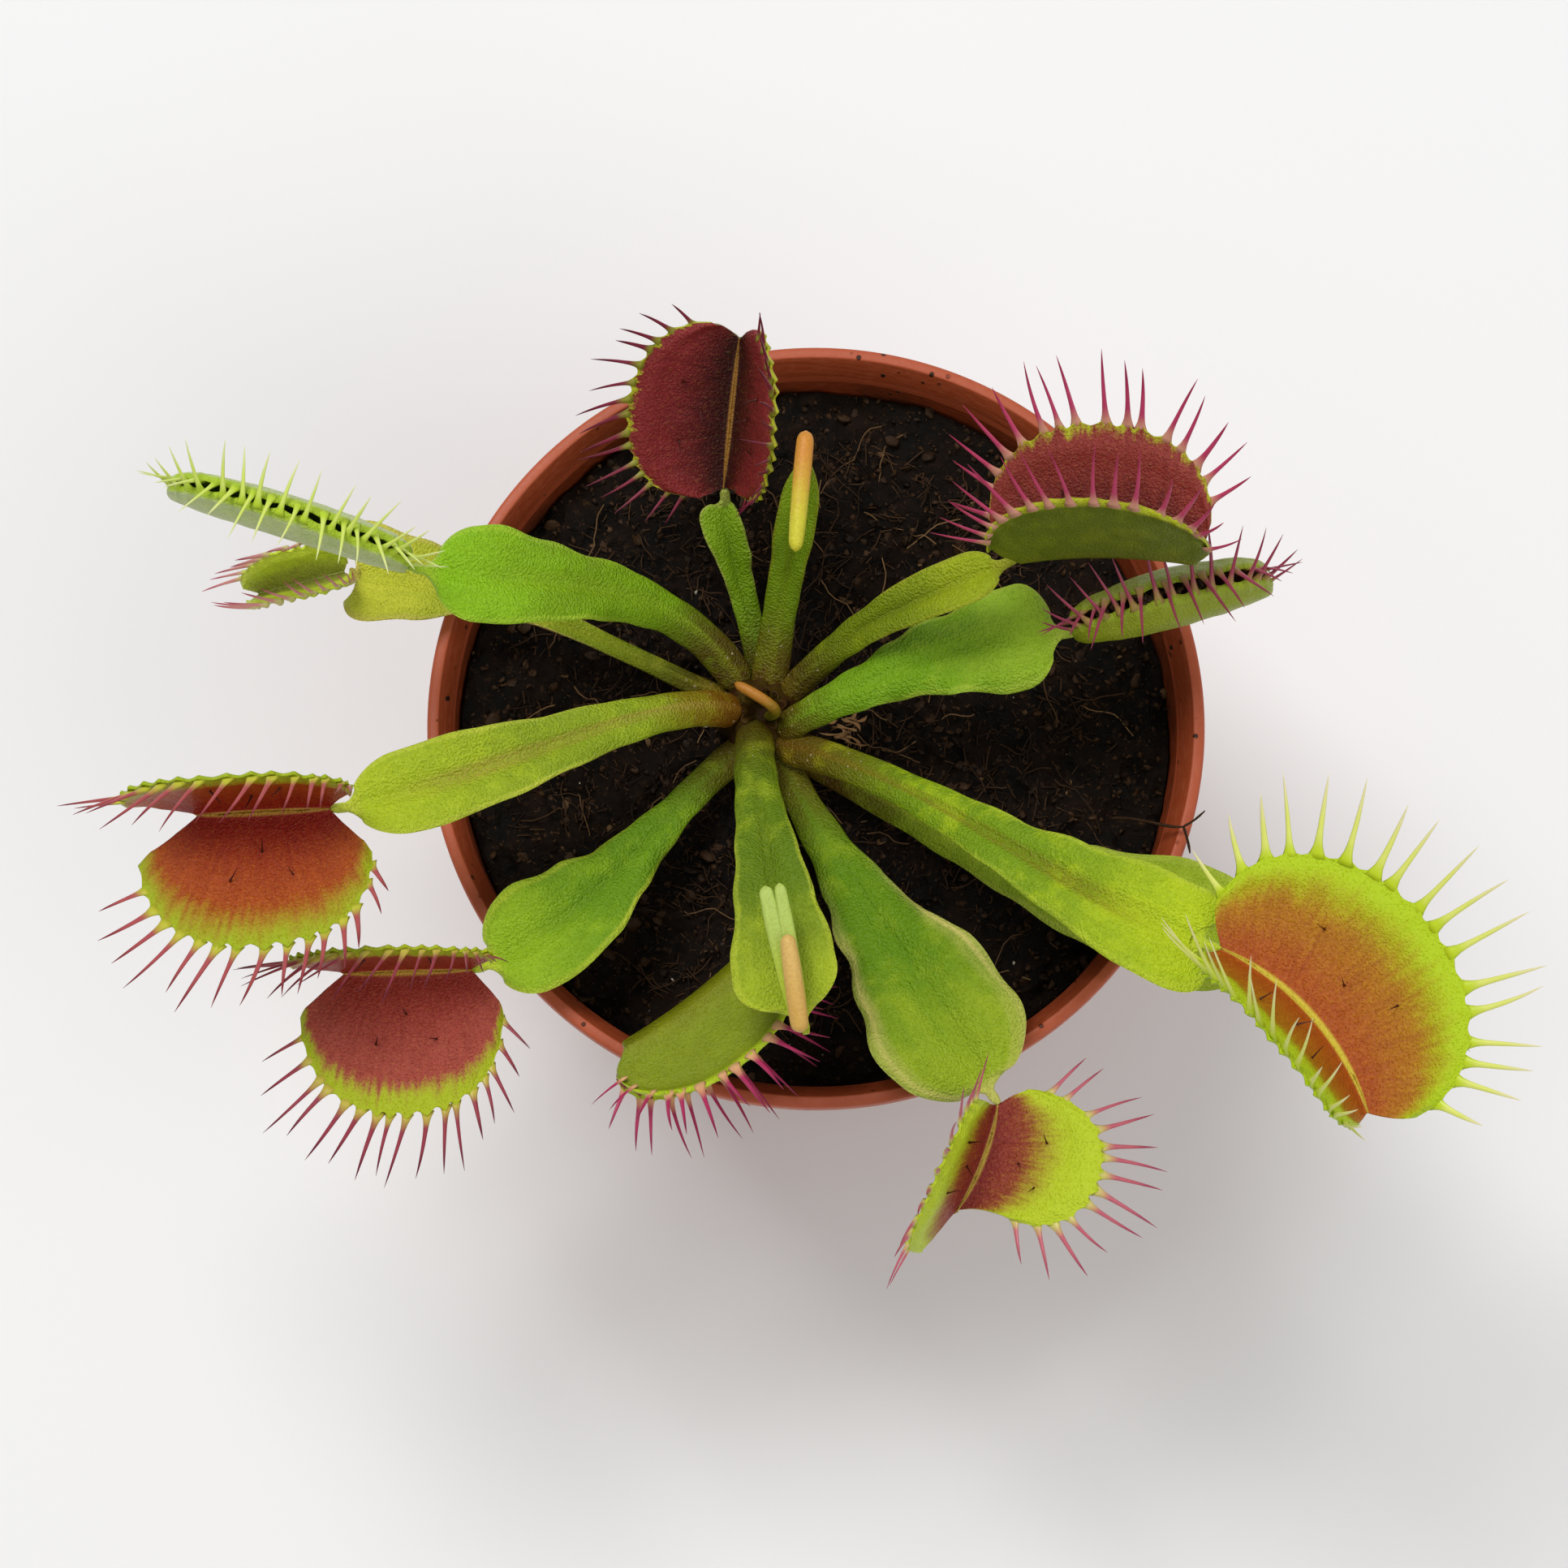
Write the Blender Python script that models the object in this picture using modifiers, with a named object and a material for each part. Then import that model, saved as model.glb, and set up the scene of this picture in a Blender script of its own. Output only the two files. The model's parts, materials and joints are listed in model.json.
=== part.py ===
"""A Venus flytrap growing in a thin plastic nursery pot.

Run it with: blender --background --python part.py
Lengths below are in millimetres and are turned into metres when a mesh is made. Z is up, and
the origin is the centre of the pot's flat base. The plant spreads over the pot's rim in a loose
rosette: a petiole (the winged stalk) and its trap are separate solids, as are the crown that
the petioles grow from, the soil and the pot. +Y is the far side of the rosette.
"""

import math
import random

import bmesh
import bpy
from mathutils import Vector

MILLIMETRE = 0.001
GAP = 0.3  # left between pieces that touch
SEED = 7

# Pot: a tapered cup with a wider collar under its rim, and drain holes in radial grooves
POT_HEIGHT = 65.0
RIM_RADIUS = 42.5
BASE_RADIUS = 30.0
WALL = 1.2
LIP = 2.2
FLOOR = 1.5
COLLAR_HEIGHT = 12.0
COLLAR_STEP = 1.6
POT_SEGMENTS = 48
DRAIN_COUNT = 8
DRAIN_DIAMETER = 4.0
DRAIN_RING = 22.5
GROOVE_DEPTH = 0.9
GROOVE_WIDTH = 5.0
FLAT_RADIUS = 18.5  # the plain disc inside the grooves

# Crown: the short rhizome, sitting in a hole in the soil
CROWN_X, CROWN_Y = -6.0, 1.7
CROWN_RADIUS = 4.8
CROWN_LEVEL = 58.5  # where its domed top begins
CROWN_DOME = 5.0
CROWN_DEPTH = 14.0

# Soil: a peat plug that follows the pot's wall, with an uneven top
SOIL_LEVEL = 56.8
SOIL_TILT = 1.8  # how much higher it lies on the far left than on the right
SOIL_ROUGHNESS = 0.5
SOIL_SEGMENTS = 36
SOIL_RINGS = 6

# Blades
WING_THICKNESS = 0.65
LOBE_THICKNESS = 0.62
MIDRIB_THICKNESS = 1.1
NECK_DIAMETER = 1.1
NECK_LENGTH = 2.4
NECK_LIFT = 1.2  # the neck rises this far above the blade
STALK_STEPS = (0, 0.1, 0.24, 0.4, 0.56, 0.7, 0.82, 0.9, 0.955, 0.985, 1)  # sections along a stalk
SHOULDER_START = 0.9  # where along a stalk its blade begins to round off
SHOULDER_ROUND = 0.12  # over how much of its length it would round off to nothing
WING_START = 0.7  # where along a stalk the wings' edges begin to reach forward
STALK_RIB = (1.8, 1.2)  # thickness along the middle of a stalk, at its base and at its end
STALK_EDGE = 1.3  # thickness of its edges at the base, thinning outwards to a wing's

COLOURS = {
    "pot": ((0.43, 0.070, 0.026, 1.0), 0.55),
    "soil": ((0.016, 0.011, 0.008, 1.0), 0.95),
    "crown": ((0.34, 0.36, 0.10, 1.0), 0.6),
    "petiole": ((0.16, 0.30, 0.030, 1.0), 0.5),
    "trap_red": ((0.30, 0.045, 0.035, 1.0), 0.45),
    "trap_orange": ((0.52, 0.20, 0.05, 1.0), 0.45),
    "trap_green": ((0.42, 0.46, 0.10, 1.0), 0.5),
}

# Each leaf: where it leaves the crown (azimuth round it, polar angle from its top), where its
# neck ends, the direction there (azimuth, rise), how strongly it keeps its first and last
# directions, its widths at even steps, how far its wings fold up, how far its shoulders reach
# forward, how much wider its left wing grows than its right (skew), and its trap. A trap has its
# midrib's heading, rise and length, and how far that turns and lifts on the way; its lobes; the
# teeth on each lobe, their length and how far they lean inwards. A lobe, left or right, has its
# rise at the midrib and at the margin, its half length, its height and how far it is swept
# towards the trap's tip. A young leaf's trap is still folded: a slim closed pod, bent back over
# its own stalk from the neck to `tip`.
LEAVES = {
    "back": dict(
        base=(100, 82), neck=(-10.6, 23.6, 72), end=(96, 28), reach=(0.45, 0.30),
        widths=(2.4, 2.6, 2.9, 3.4, 4.4, 5.4, 5.6, 4.4), fold=25, shoulder=0.5,
        trap=dict(
            heading=84, rise=38, length=18, turn=0, lift=8, colour="trap_red",
            left=(12, 26, 10.8, 11.4, 0.4), right=(56, 78, 10.2, 11.4, 1.8),
            teeth=13, tooth=6.6, lean=8,
        ),
    ),
    "back_low": dict(
        base=(160, 84), neck=(-51.0, 14.3, 70), end=(180, 4), reach=(0.22, 0.40),
        widths=(2.0, 2.0, 2.1, 2.3, 2.6, 3.6, 7.6, 10.4), fold=12, shoulder=0.2,
        trap=dict(
            heading=198, rise=6, length=9.5, turn=0, lift=0, colour="trap_green",
            left=(40, 82, 6.0, 6.4, 0.6), right=(48, 88, 6.0, 6.4, 0.6),
            teeth=10, tooth=4.8, lean=10,
        ),
    ),
    "back_left": dict(
        base=(124, 60), neck=(-42.7, 10.7, 88), end=(178, 12), reach=(0.36, 0.34),
        widths=(3.0, 3.4, 4.2, 5.6, 7.2, 9.0, 10.8, 10.4), fold=8, shoulder=0.0,
        trap=dict(
            heading=164, rise=6, length=26, turn=2, lift=0, colour="trap_green",
            left=(52, 126, 13.4, 9.0, 0), right=(52, 126, 13.4, 9.0, 0),
            teeth=14, tooth=6.6, lean=6,
        ),
    ),
    "left": dict(
        base=(176, 27), neck=(-50.0, -13.5, 86), end=(196, 8), reach=(0.30, 0.36),
        widths=(3.0, 3.4, 4.2, 5.2, 6.8, 8.6, 9.8, 8.8), fold=16, shoulder=0.1,
        trap=dict(
            heading=182, rise=4, length=13.6, turn=0, lift=-4, colour="trap_orange",
            left=(12, 22, 12.0, 15.6, 2.0), right=(70, 92, 12.6, 13.0, 1.2),
            teeth=14, tooth=8.2, lean=5,
        ),
    ),
    "front_left": dict(
        base=(226, 66), neck=(-35.4, -29.2, 71.5), end=(208, 6), reach=(0.34, 0.36),
        widths=(2.8, 3.0, 3.6, 5.0, 7.4, 10.6, 12.4, 10.6), fold=14, shoulder=0.25,
        trap=dict(
            heading=183, rise=6, length=13.4, turn=2, lift=-6, colour="trap_red",
            left=(4, 16, 11.0, 16.0, 0.8), right=(80, 98, 10.8, 10.0, 1.0),
            teeth=15, tooth=8.6, lean=5,
        ),
    ),
    "front_low": dict(
        base=(264, 84), neck=(-4.6, -24.6, 69.5), end=(255, 5), reach=(0.4, 0.34),
        widths=(2.2, 2.2, 2.4, 3.0, 3.8, 4.8, 5.2, 4.4), fold=15, shoulder=0.2,
        trap=dict(
            heading=228, rise=2, length=19, turn=-16, lift=0, colour="trap_green",
            left=(-12, 0, 10.8, 9.4, 1.2), right=(158, 138, 10.8, 11.6, 1.2),
            teeth=14, tooth=7.6, lean=2,
        ),
    ),
    "front": dict(
        base=(262, 30), neck=(-0.3, -36.6, 84), end=(285, 6), reach=(0.30, 0.34),
        widths=(3.0, 3.6, 4.6, 5.8, 7.6, 9.6, 11.0, 8.6), skew=1.6, fold=14, shoulder=0.0,
        young=dict(tip=(-4.6, -22.3, 86.6), width=3.8, depth=3.4),
    ),
    "front_right": dict(
        base=(295, 72), neck=(20.1, -42.0, 73), end=(303, 4), reach=(0.34, 0.36),
        widths=(2.8, 3.2, 4.6, 7.0, 10.4, 14.4, 17.0, 13.4), fold=10, shoulder=0.15,
        trap=dict(
            heading=-99, rise=4, length=12, turn=-22, lift=-14, colour="trap_red",
            left=(8, 26, 6.2, 12.6, -2.2), right=(62, 84, 9.0, 9.4, 3.2),
            teeth=12, tooth=8.4, lean=4,
        ),
    ),
    "right_low": dict(
        base=(327, 80), neck=(48.4, -24.6, 73), end=(346, 4), reach=(0.34, 0.40),
        widths=(2.6, 3.0, 3.8, 5.2, 7.4, 10.6, 13.6, 13.0), fold=6, shoulder=0.4,
        trap=dict(
            heading=-38, rise=-2, length=17, turn=0, lift=0, colour="trap_red",
            left=(58, 80, 9.6, 8.4, 2.0), right=(58, 80, 9.6, 8.4, 2.0),
            teeth=12, tooth=7.2, lean=4,
        ),
    ),
    "right": dict(
        base=(336, 48), neck=(41.6, -28.6, 94), end=(338, 8), reach=(0.36, 0.30),
        widths=(3.0, 3.2, 3.8, 4.8, 6.2, 8.4, 11.2, 12.4), fold=6, shoulder=0.9,
        trap=dict(
            heading=-26, rise=3, length=23, turn=-46, lift=-2, colour="trap_orange",
            left=(12, 26, 14.0, 15.4, -0.4), right=(54, 76, 13.0, 13.6, 0),
            teeth=16, tooth=9.0, lean=3,
        ),
    ),
    "right_mid": dict(
        base=(350, 28), neck=(27.3, 8.6, 75), end=(4, -2), reach=(0.24, 0.42),
        widths=(2.6, 3.0, 3.8, 5.0, 6.6, 9.0, 11.8, 11.0), fold=-6, shoulder=0.1,
        trap=dict(
            heading=15, rise=6, length=20.5, turn=0, lift=0, colour="trap_green",
            left=(32, 145, 11.2, 10.0, 0), right=(32, 145, 11.2, 10.0, 0),
            teeth=14, tooth=6.6, lean=-4,
        ),
    ),
    "right_back": dict(
        base=(46, 54), neck=(20.4, 14.1, 85), end=(22, 12), reach=(0.34, 0.36),
        widths=(2.4, 2.7, 3.2, 3.9, 4.6, 5.4, 6.0, 5.6), fold=20, shoulder=0.3,
        trap=dict(
            heading=4, rise=22, length=19.5, turn=-16, lift=-8, colour="trap_red",
            left=(20, 36, 11.6, 13.4, -0.8), right=(94, 112, 12.0, 12.6, 0),
            teeth=15, tooth=8.4, lean=6,
        ),
    ),
    "back_upright": dict(
        base=(84, 58), neck=(-1.8, 25.1, 88), end=(84, 50), reach=(0.36, 0.36),
        widths=(3.0, 3.4, 3.6, 4.0, 4.4, 5.0, 4.8, 3.4), fold=28, shoulder=0.2,
        young=dict(tip=(-2.9, 14.0, 86.6), width=2.6, depth=3.2),
    ),
}
YOUNG_SIDES = 8
YOUNG_RINGS = 9


def clear_scene():
    for obj in list(bpy.data.objects):
        bpy.data.objects.remove(obj, do_unlink=True)


def new_collection(name):
    collection = bpy.data.collections.new(name)
    bpy.context.scene.collection.children.link(collection)
    return collection


def new_material(name):
    colour, roughness = COLOURS[name]
    material = bpy.data.materials.new(name)
    material.use_nodes = True
    shader = material.node_tree.nodes["Principled BSDF"]
    shader.inputs["Base Color"].default_value = colour
    shader.inputs["Roughness"].default_value = roughness
    shader.inputs["Metallic"].default_value = 0.0
    material.diffuse_color = colour
    return material


def add_solid(name, points, faces, collection, material):
    """A mesh object from points in millimetres, with its faces turned outwards."""
    mesh = bpy.data.meshes.new(name)
    mesh.from_pydata([Vector(p) * MILLIMETRE for p in points], [], faces)
    shape = bmesh.new()
    shape.from_mesh(mesh)
    bmesh.ops.recalc_face_normals(shape, faces=shape.faces[:])
    shape.to_mesh(mesh)
    shape.free()
    mesh.shade_smooth()
    mesh.set_sharp_from_angle(angle=math.radians(50))
    mesh.materials.append(material)
    obj = bpy.data.objects.new(name, mesh)
    collection.objects.link(obj)
    return obj


def add_turned(name, profile, segments, collection, material):
    """Turns a profile of (radius, height) about Z. It runs down the outer side."""
    mesh = bpy.data.meshes.new(name)
    mesh.from_pydata(
        [(radius * MILLIMETRE, 0, height * MILLIMETRE) for radius, height in profile],
        [(i, i + 1) for i in range(len(profile) - 1)],
        [],
    )
    mesh.materials.append(material)
    obj = bpy.data.objects.new(name, mesh)
    collection.objects.link(obj)
    screw = obj.modifiers.new("Turn", "SCREW")
    screw.axis = "Z"
    screw.steps = segments
    screw.render_steps = segments
    screw.use_merge_vertices = True
    screw.merge_threshold = 0.00001
    screw.use_smooth_shade = False
    return obj


def add_cutter(name, obj, collection):
    obj.name = name
    for other in list(obj.users_collection):
        other.objects.unlink(obj)
    collection.objects.link(obj)
    obj.hide_render = True
    obj.display_type = "WIRE"
    return obj


# ---------------------------------------------------------------- pot, crown and soil


def collar_bottom():
    return POT_HEIGHT - COLLAR_HEIGHT


def body_top_radius():
    """The outer radius of the tapered body where it meets the collar."""
    return RIM_RADIUS - LIP - COLLAR_STEP


def make_pot(collection, cutters, material):
    step = collar_bottom()
    outer = body_top_radius()
    collar = outer + COLLAR_STEP
    inner_base = BASE_RADIUS - WALL
    profile = [
        (0, FLOOR),
        (inner_base, FLOOR),
        (outer - WALL, step),
        (collar - WALL, step),
        (RIM_RADIUS - LIP, POT_HEIGHT - 0.3),
        (RIM_RADIUS - LIP + 0.3, POT_HEIGHT),
        (RIM_RADIUS - 0.3, POT_HEIGHT),
        (RIM_RADIUS, POT_HEIGHT - 0.4),
        (RIM_RADIUS, POT_HEIGHT - 1.8),
        (RIM_RADIUS - 1.0, POT_HEIGHT - 2.2),
        (collar, step - WALL),
        (outer, step - WALL),
        (BASE_RADIUS, 0.6),
        (BASE_RADIUS - 0.6, 0),
        (0, 0),
    ]
    pot = add_turned("pot", profile, POT_SEGMENTS, collection, material)
    for number in range(DRAIN_COUNT):
        angle = math.radians((number + 0.4) * 360 / DRAIN_COUNT)
        across = Vector((math.cos(angle), math.sin(angle), 0))
        length = BASE_RADIUS + 2 - FLAT_RADIUS
        bpy.ops.mesh.primitive_cube_add(
            size=1,
            location=across * (FLAT_RADIUS + length / 2) * MILLIMETRE,
            rotation=(0, 0, angle),
            scale=(length * MILLIMETRE, GROOVE_WIDTH * MILLIMETRE, 2 * GROOVE_DEPTH * MILLIMETRE),
        )
        groove = add_cutter(f"groove_{number + 1}", bpy.context.object, cutters)
        bpy.ops.mesh.primitive_cylinder_add(
            vertices=12,
            radius=DRAIN_DIAMETER / 2 * MILLIMETRE,
            depth=4 * FLOOR * MILLIMETRE,
            location=across * DRAIN_RING * MILLIMETRE,
            rotation=(0, 0, angle),
        )
        drain = add_cutter(f"drain_{number + 1}", bpy.context.object, cutters)
        for cutter in (groove, drain):
            cut = pot.modifiers.new(cutter.name, "BOOLEAN")
            cut.operation = "DIFFERENCE"
            cut.solver = "EXACT"
            cut.object = cutter
    return pot


def make_crown(collection, material):
    profile = [(0, CROWN_LEVEL + CROWN_DOME)]
    for degrees in (28, 54, 76, 90):
        angle = math.radians(degrees)
        radius = CROWN_RADIUS * math.sin(angle)
        profile.append((radius, CROWN_LEVEL + CROWN_DOME * math.cos(angle)))
    profile += [
        (CROWN_RADIUS * 0.94, CROWN_LEVEL - CROWN_DEPTH * 0.4),
        (CROWN_RADIUS * 0.70, CROWN_LEVEL - CROWN_DEPTH * 0.8),
        (CROWN_RADIUS * 0.35, CROWN_LEVEL - CROWN_DEPTH),
        (0, CROWN_LEVEL - CROWN_DEPTH),
    ]
    crown = add_turned("crown", profile, 20, collection, material)
    crown.location = (CROWN_X * MILLIMETRE, CROWN_Y * MILLIMETRE, 0)
    return crown


def soil_height(x, y):
    """The top of the soil: it lies higher on the far left, with low lumps and hollows."""
    tilt = SOIL_TILT * (y - x) / (1.6 * RIM_RADIUS)
    lumps = (
        math.sin(0.31 * x + 1.1) * math.cos(0.27 * y - 0.4)
        + 0.6 * math.sin(0.52 * x - 0.47 * y + 2.0)
        + 0.4 * math.cos(0.83 * x + 0.71 * y)
    )
    near_crown = math.exp(-((x - CROWN_X) ** 2 + (y - CROWN_Y) ** 2) / 120)
    return SOIL_LEVEL + (tilt + SOIL_ROUGHNESS * lumps) * (1 - near_crown) - 0.6 * near_crown


def make_soil(collection, material):
    """A plug of peat with a plain blind hole for the crown."""
    step = collar_bottom()
    hole_radius = CROWN_RADIUS + GAP + 0.1
    hole_floor = CROWN_LEVEL - CROWN_DEPTH - GAP
    collar_radius = body_top_radius() + COLLAR_STEP - WALL - GAP
    rows = []
    for ring in range(SOIL_RINGS + 1):
        t = ring / SOIL_RINGS
        row = []
        for number in range(SOIL_SEGMENTS):
            angle = 2 * math.pi * number / SOIL_SEGMENTS
            around = Vector((math.cos(angle), math.sin(angle)))
            hole = Vector((CROWN_X, CROWN_Y)) + around * hole_radius
            wall = around * collar_radius
            x, y = hole.lerp(wall, t)
            row.append((x, y, soil_height(x, y)))
        rows.append(row)
    hole_bottom = [(x, y, hole_floor) for x, y, _ in rows[0]]
    sides = (
        (collar_radius, step + GAP),
        (body_top_radius() - WALL - GAP, step + GAP),
        (BASE_RADIUS - WALL - GAP, FLOOR + GAP),
    )
    rows = [hole_bottom] + rows
    for radius, height in sides:
        rows.append([
            (x * radius / collar_radius, y * radius / collar_radius, height)
            for x, y, _ in rows[SOIL_RINGS + 1]
        ])
    points = [point for row in rows for point in row]
    faces = []
    for row in range(len(rows) - 1):
        for number in range(SOIL_SEGMENTS):
            after = (number + 1) % SOIL_SEGMENTS
            a, b = row * SOIL_SEGMENTS + number, row * SOIL_SEGMENTS + after
            faces.append((a, b, b + SOIL_SEGMENTS))
            faces.append((a, b + SOIL_SEGMENTS, a + SOIL_SEGMENTS))
    faces.append(tuple(range(SOIL_SEGMENTS)))
    faces.append(tuple(range(len(points) - SOIL_SEGMENTS, len(points))))
    return add_solid("soil", points, faces, collection, material)


# ---------------------------------------------------------------- leaf stalks


def direction(azimuth, rise):
    azimuth, rise = math.radians(azimuth), math.radians(rise)
    return Vector((
        math.cos(rise) * math.cos(azimuth),
        math.cos(rise) * math.sin(azimuth),
        math.sin(rise),
    ))


def crown_seat(azimuth, polar):
    """The point just off the crown's dome where a stalk starts, and the way it leaves."""
    azimuth, polar = math.radians(azimuth), math.radians(polar)
    around = Vector((math.cos(azimuth), math.sin(azimuth), 0))
    point = around * CROWN_RADIUS * math.sin(polar) + Vector((0, 0, CROWN_DOME * math.cos(polar)))
    outward = around * math.sin(polar) / CROWN_RADIUS + Vector((0, 0, math.cos(polar) / CROWN_DOME))
    outward.normalize()
    return Vector((CROWN_X, CROWN_Y, CROWN_LEVEL)) + point + outward * GAP * 1.4, outward


def bezier(points, t):
    """A point on a cubic curve, and its direction there."""
    a, b, c, d = points
    s = 1 - t
    place = a * s**3 + b * 3 * s * s * t + c * 3 * s * t * t + d * t**3
    way = (b - a) * s * s + (c - b) * 2 * s * t + (d - c) * t * t
    return place, way.normalized()


def smooth_value(values, t):
    """Reads a list of values at even steps, eased between them."""
    spot = t * (len(values) - 1)
    index = min(int(spot), len(values) - 2)
    part = spot - index
    part = part * part * (3 - 2 * part)
    return values[index] * (1 - part) + values[index + 1] * part


def stalk_frame(way):
    """Sideways and upward directions that go with a stalk's direction."""
    side = Vector((0, 0, 1)).cross(way).normalized()
    return side, way.cross(side)


ACROSS = (1.0, 0.5, 0.0, -0.5, -1.0)  # places across a blade, from its left edge


def blade_section(place, way, width, skew, rib, wing, fold, forward):
    """Ten points round a winged section: five on top and five below, from left to right."""
    side, up = stalk_frame(way)
    top, bottom = [], []
    for across in ACROSS:
        out = abs(across) * width / 2 + across * skew
        point = (
            place
            + side * math.copysign(out * math.cos(fold), across)
            + up * out * math.sin(fold)
            + way * forward * across**2
        )
        thickness = wing + (rib - wing) * (1 - abs(across)) ** 2
        top.append(point)
        bottom.append(point - up * thickness)
    return top + bottom[::-1]


def round_section(place, way, diameter):
    """Ten points round a thin neck, in the order of blade_section."""
    side, up = stalk_frame(way)
    ring = []
    for step in range(10):
        angle = math.radians(18 + step * 36)
        ring.append(place + (side * math.cos(angle) + up * math.sin(angle)) * diameter / 2)
    return ring


def loft(rings, ends=True):
    """Triangles over rings of equal count. The lower half slants like the upper one."""
    count = len(rings[0])
    faces = []
    for row in range(len(rings) - 1):
        for k in range(count):
            a, b = row * count + k, row * count + (k + 1) % count
            c, d = b + count, a + count
            if k < count // 2:
                faces += [(a, b, c), (a, c, d)]
            else:
                faces += [(a, b, d), (b, c, d)]
    if ends:
        for start in (0, (len(rings) - 1) * count):
            for k in range(count // 2 - 1):
                upper, lower = start + k, start + count - 1 - k
                faces += [(upper, upper + 1, lower), (upper + 1, lower - 1, lower)]
    return faces


def stalk_curve(leaf):
    """The blade's spine, from the crown to where the neck begins, as a cubic curve."""
    seat, outward = crown_seat(*leaf["base"])
    arrive = direction(*leaf["end"])
    blade_end = Vector(leaf["neck"]) - arrive * NECK_LENGTH - Vector((0, 0, NECK_LIFT))
    span = (blade_end - seat).length
    first, last = leaf["reach"]
    return seat, seat + outward * span * first, blade_end - arrive * span * last, blade_end


def make_stalk(name, leaf, collection, material):
    """A winged stalk that widens towards rounded shoulders and ends in a thin neck."""
    curve = stalk_curve(leaf)
    widths = leaf["widths"]
    fold = math.radians(leaf["fold"])
    rings = []
    for t in STALK_STEPS:
        place, way = bezier(curve, t)
        rounding = max(0, t - SHOULDER_START) / SHOULDER_ROUND
        width = smooth_value(widths, t) * math.sqrt(1 - rounding**2)
        shoulder = max(0, t - WING_START) / (1 - WING_START)
        forward = leaf["shoulder"] * width / 2 * shoulder
        rib = STALK_RIB[0] + (STALK_RIB[1] - STALK_RIB[0]) * t
        wing = max(WING_THICKNESS, STALK_EDGE - 3.5 * t)
        skew = leaf.get("skew", 0) * shoulder * width / max(widths)
        lift = fold * min(1, 2.5 * t)
        rings.append(blade_section(place, way, width, skew, rib, wing, lift, forward))
    end, way = bezier(curve, 1)
    up = stalk_frame(way)[1]
    neck = Vector(leaf["neck"])
    for place in (end.lerp(neck, 0.4), neck):
        rings.append(round_section(place - up * NECK_DIAMETER / 2, way, NECK_DIAMETER))
    points = [point for ring in rings for point in ring]
    return add_solid(f"petiole_{name}", points, loft(rings), collection, material)


# ---------------------------------------------------------------- traps

LOBE_ROWS = (0.36, 0.72, 1.0)  # how far up the lobe each row of points lies
FAN = 80  # degrees of the margin's half ellipse that a lobe spans, each way
FULLNESS = 0.6  # under 1, the lobe is boxier than an ellipse
SPREAD = 1.6  # over 1, the lobe widens quickly beside the midrib, so its ends are rounded
HINGE = 0.25  # how far a lobe's margin stands off the midrib's middle, even where it is upright
TOOTH_WIDTH = 0.42  # share of a tooth's pitch that its root takes
TOOTH_SHIFT = 0.25  # share of the pitch by which each lobe's teeth are moved, so they mesh
TOOTH_FOOT = 1.02  # how far up the lobe the teeth's roots lie
WAIST_PLACE, WAIST_SIZE = 0.45, 0.62  # where along a tooth it has thinned, and how far
SPLAY = 0.7  # how far the teeth near a lobe's ends point along the midrib
TRAP_STEP = 0.55  # between a stalk's neck and the midrib's start, beside the usual gap


def midrib_frames(start, trap, count):
    """Places along the midrib, each with its forward, left and upward directions."""
    frames = []
    place = Vector(start)
    for number in range(count + 1):
        part = number / count
        way = direction(trap["heading"] + trap["turn"] * part, trap["rise"] + trap["lift"] * part)
        side, up = stalk_frame(way)
        frames.append((place.copy(), way, side, up))
        place += way * trap["length"] / count
    return frames


def arc_sum(rise, v):
    """How far out and up a lobe has come at a share v of its height, as its rise changes."""
    out = up = 0.0
    steps = 8
    for step in range(steps):
        angle = math.radians(rise[0] + (rise[1] - rise[0]) * v * (step + 0.5) / steps)
        out += math.cos(angle) * v / steps
        up += math.sin(angle) * v / steps
    return out, up


class Lobe:
    """One half of a trap: a fan of columns from the midrib to a half-elliptic margin."""

    def __init__(self, trap, frames, sign):
        self.trap = trap
        self.frames = frames
        self.sign = sign  # 1 for the left lobe, -1 for the right
        first, last, self.half, self.height, self.sweep = trap["left" if sign > 0 else "right"]
        self.rise = (first, last)
        self.count = len(frames) - 1

    def frame(self, spot):
        index = min(int(spot), self.count - 1)
        part = spot - index
        a, b = self.frames[index], self.frames[index + 1]
        return [p.lerp(q, part) for p, q in zip(a, b)]

    def point(self, spot, v, thickness=0.0):
        """A point of the lobe at column `spot`, a share v up it, on its inner or outer face."""
        theta = math.radians(FAN) * (2 * spot / self.count - 1)
        beyond = self.half * math.sin(theta) - self.trap["length"] * (spot / self.count - 0.5)
        along = (beyond + self.sweep) * (1 - (1 - min(v, 1)) ** SPREAD + max(v - 1, 0))
        high = self.height * math.cos(theta) ** FULLNESS
        place, way, side, up = self.frame(spot)
        out, rise = arc_sum(self.rise, v)
        angle = math.radians(self.rise[0] + (self.rise[1] - self.rise[0]) * v)
        across = high * out + HINGE * v + thickness * math.sin(angle)
        lift = high * rise - thickness * math.cos(angle)
        return place + way * along + side * self.sign * across + up * lift

    def tooth_way(self, spot, lean):
        """The direction of a tooth: on past the margin, leaning inwards, splayed at the ends."""
        theta = math.radians(FAN) * (2 * spot / self.count - 1)
        _, way, side, up = self.frame(spot)
        steep = self.rise[1] + lean
        angle = math.radians(min(steep, 90 + (steep - 90) * math.cos(theta)))
        onward = side * self.sign * math.cos(angle) + up * math.sin(angle)
        return (way * SPLAY * math.sin(theta) + onward * (math.cos(theta) + 0.25)).normalized()


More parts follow.
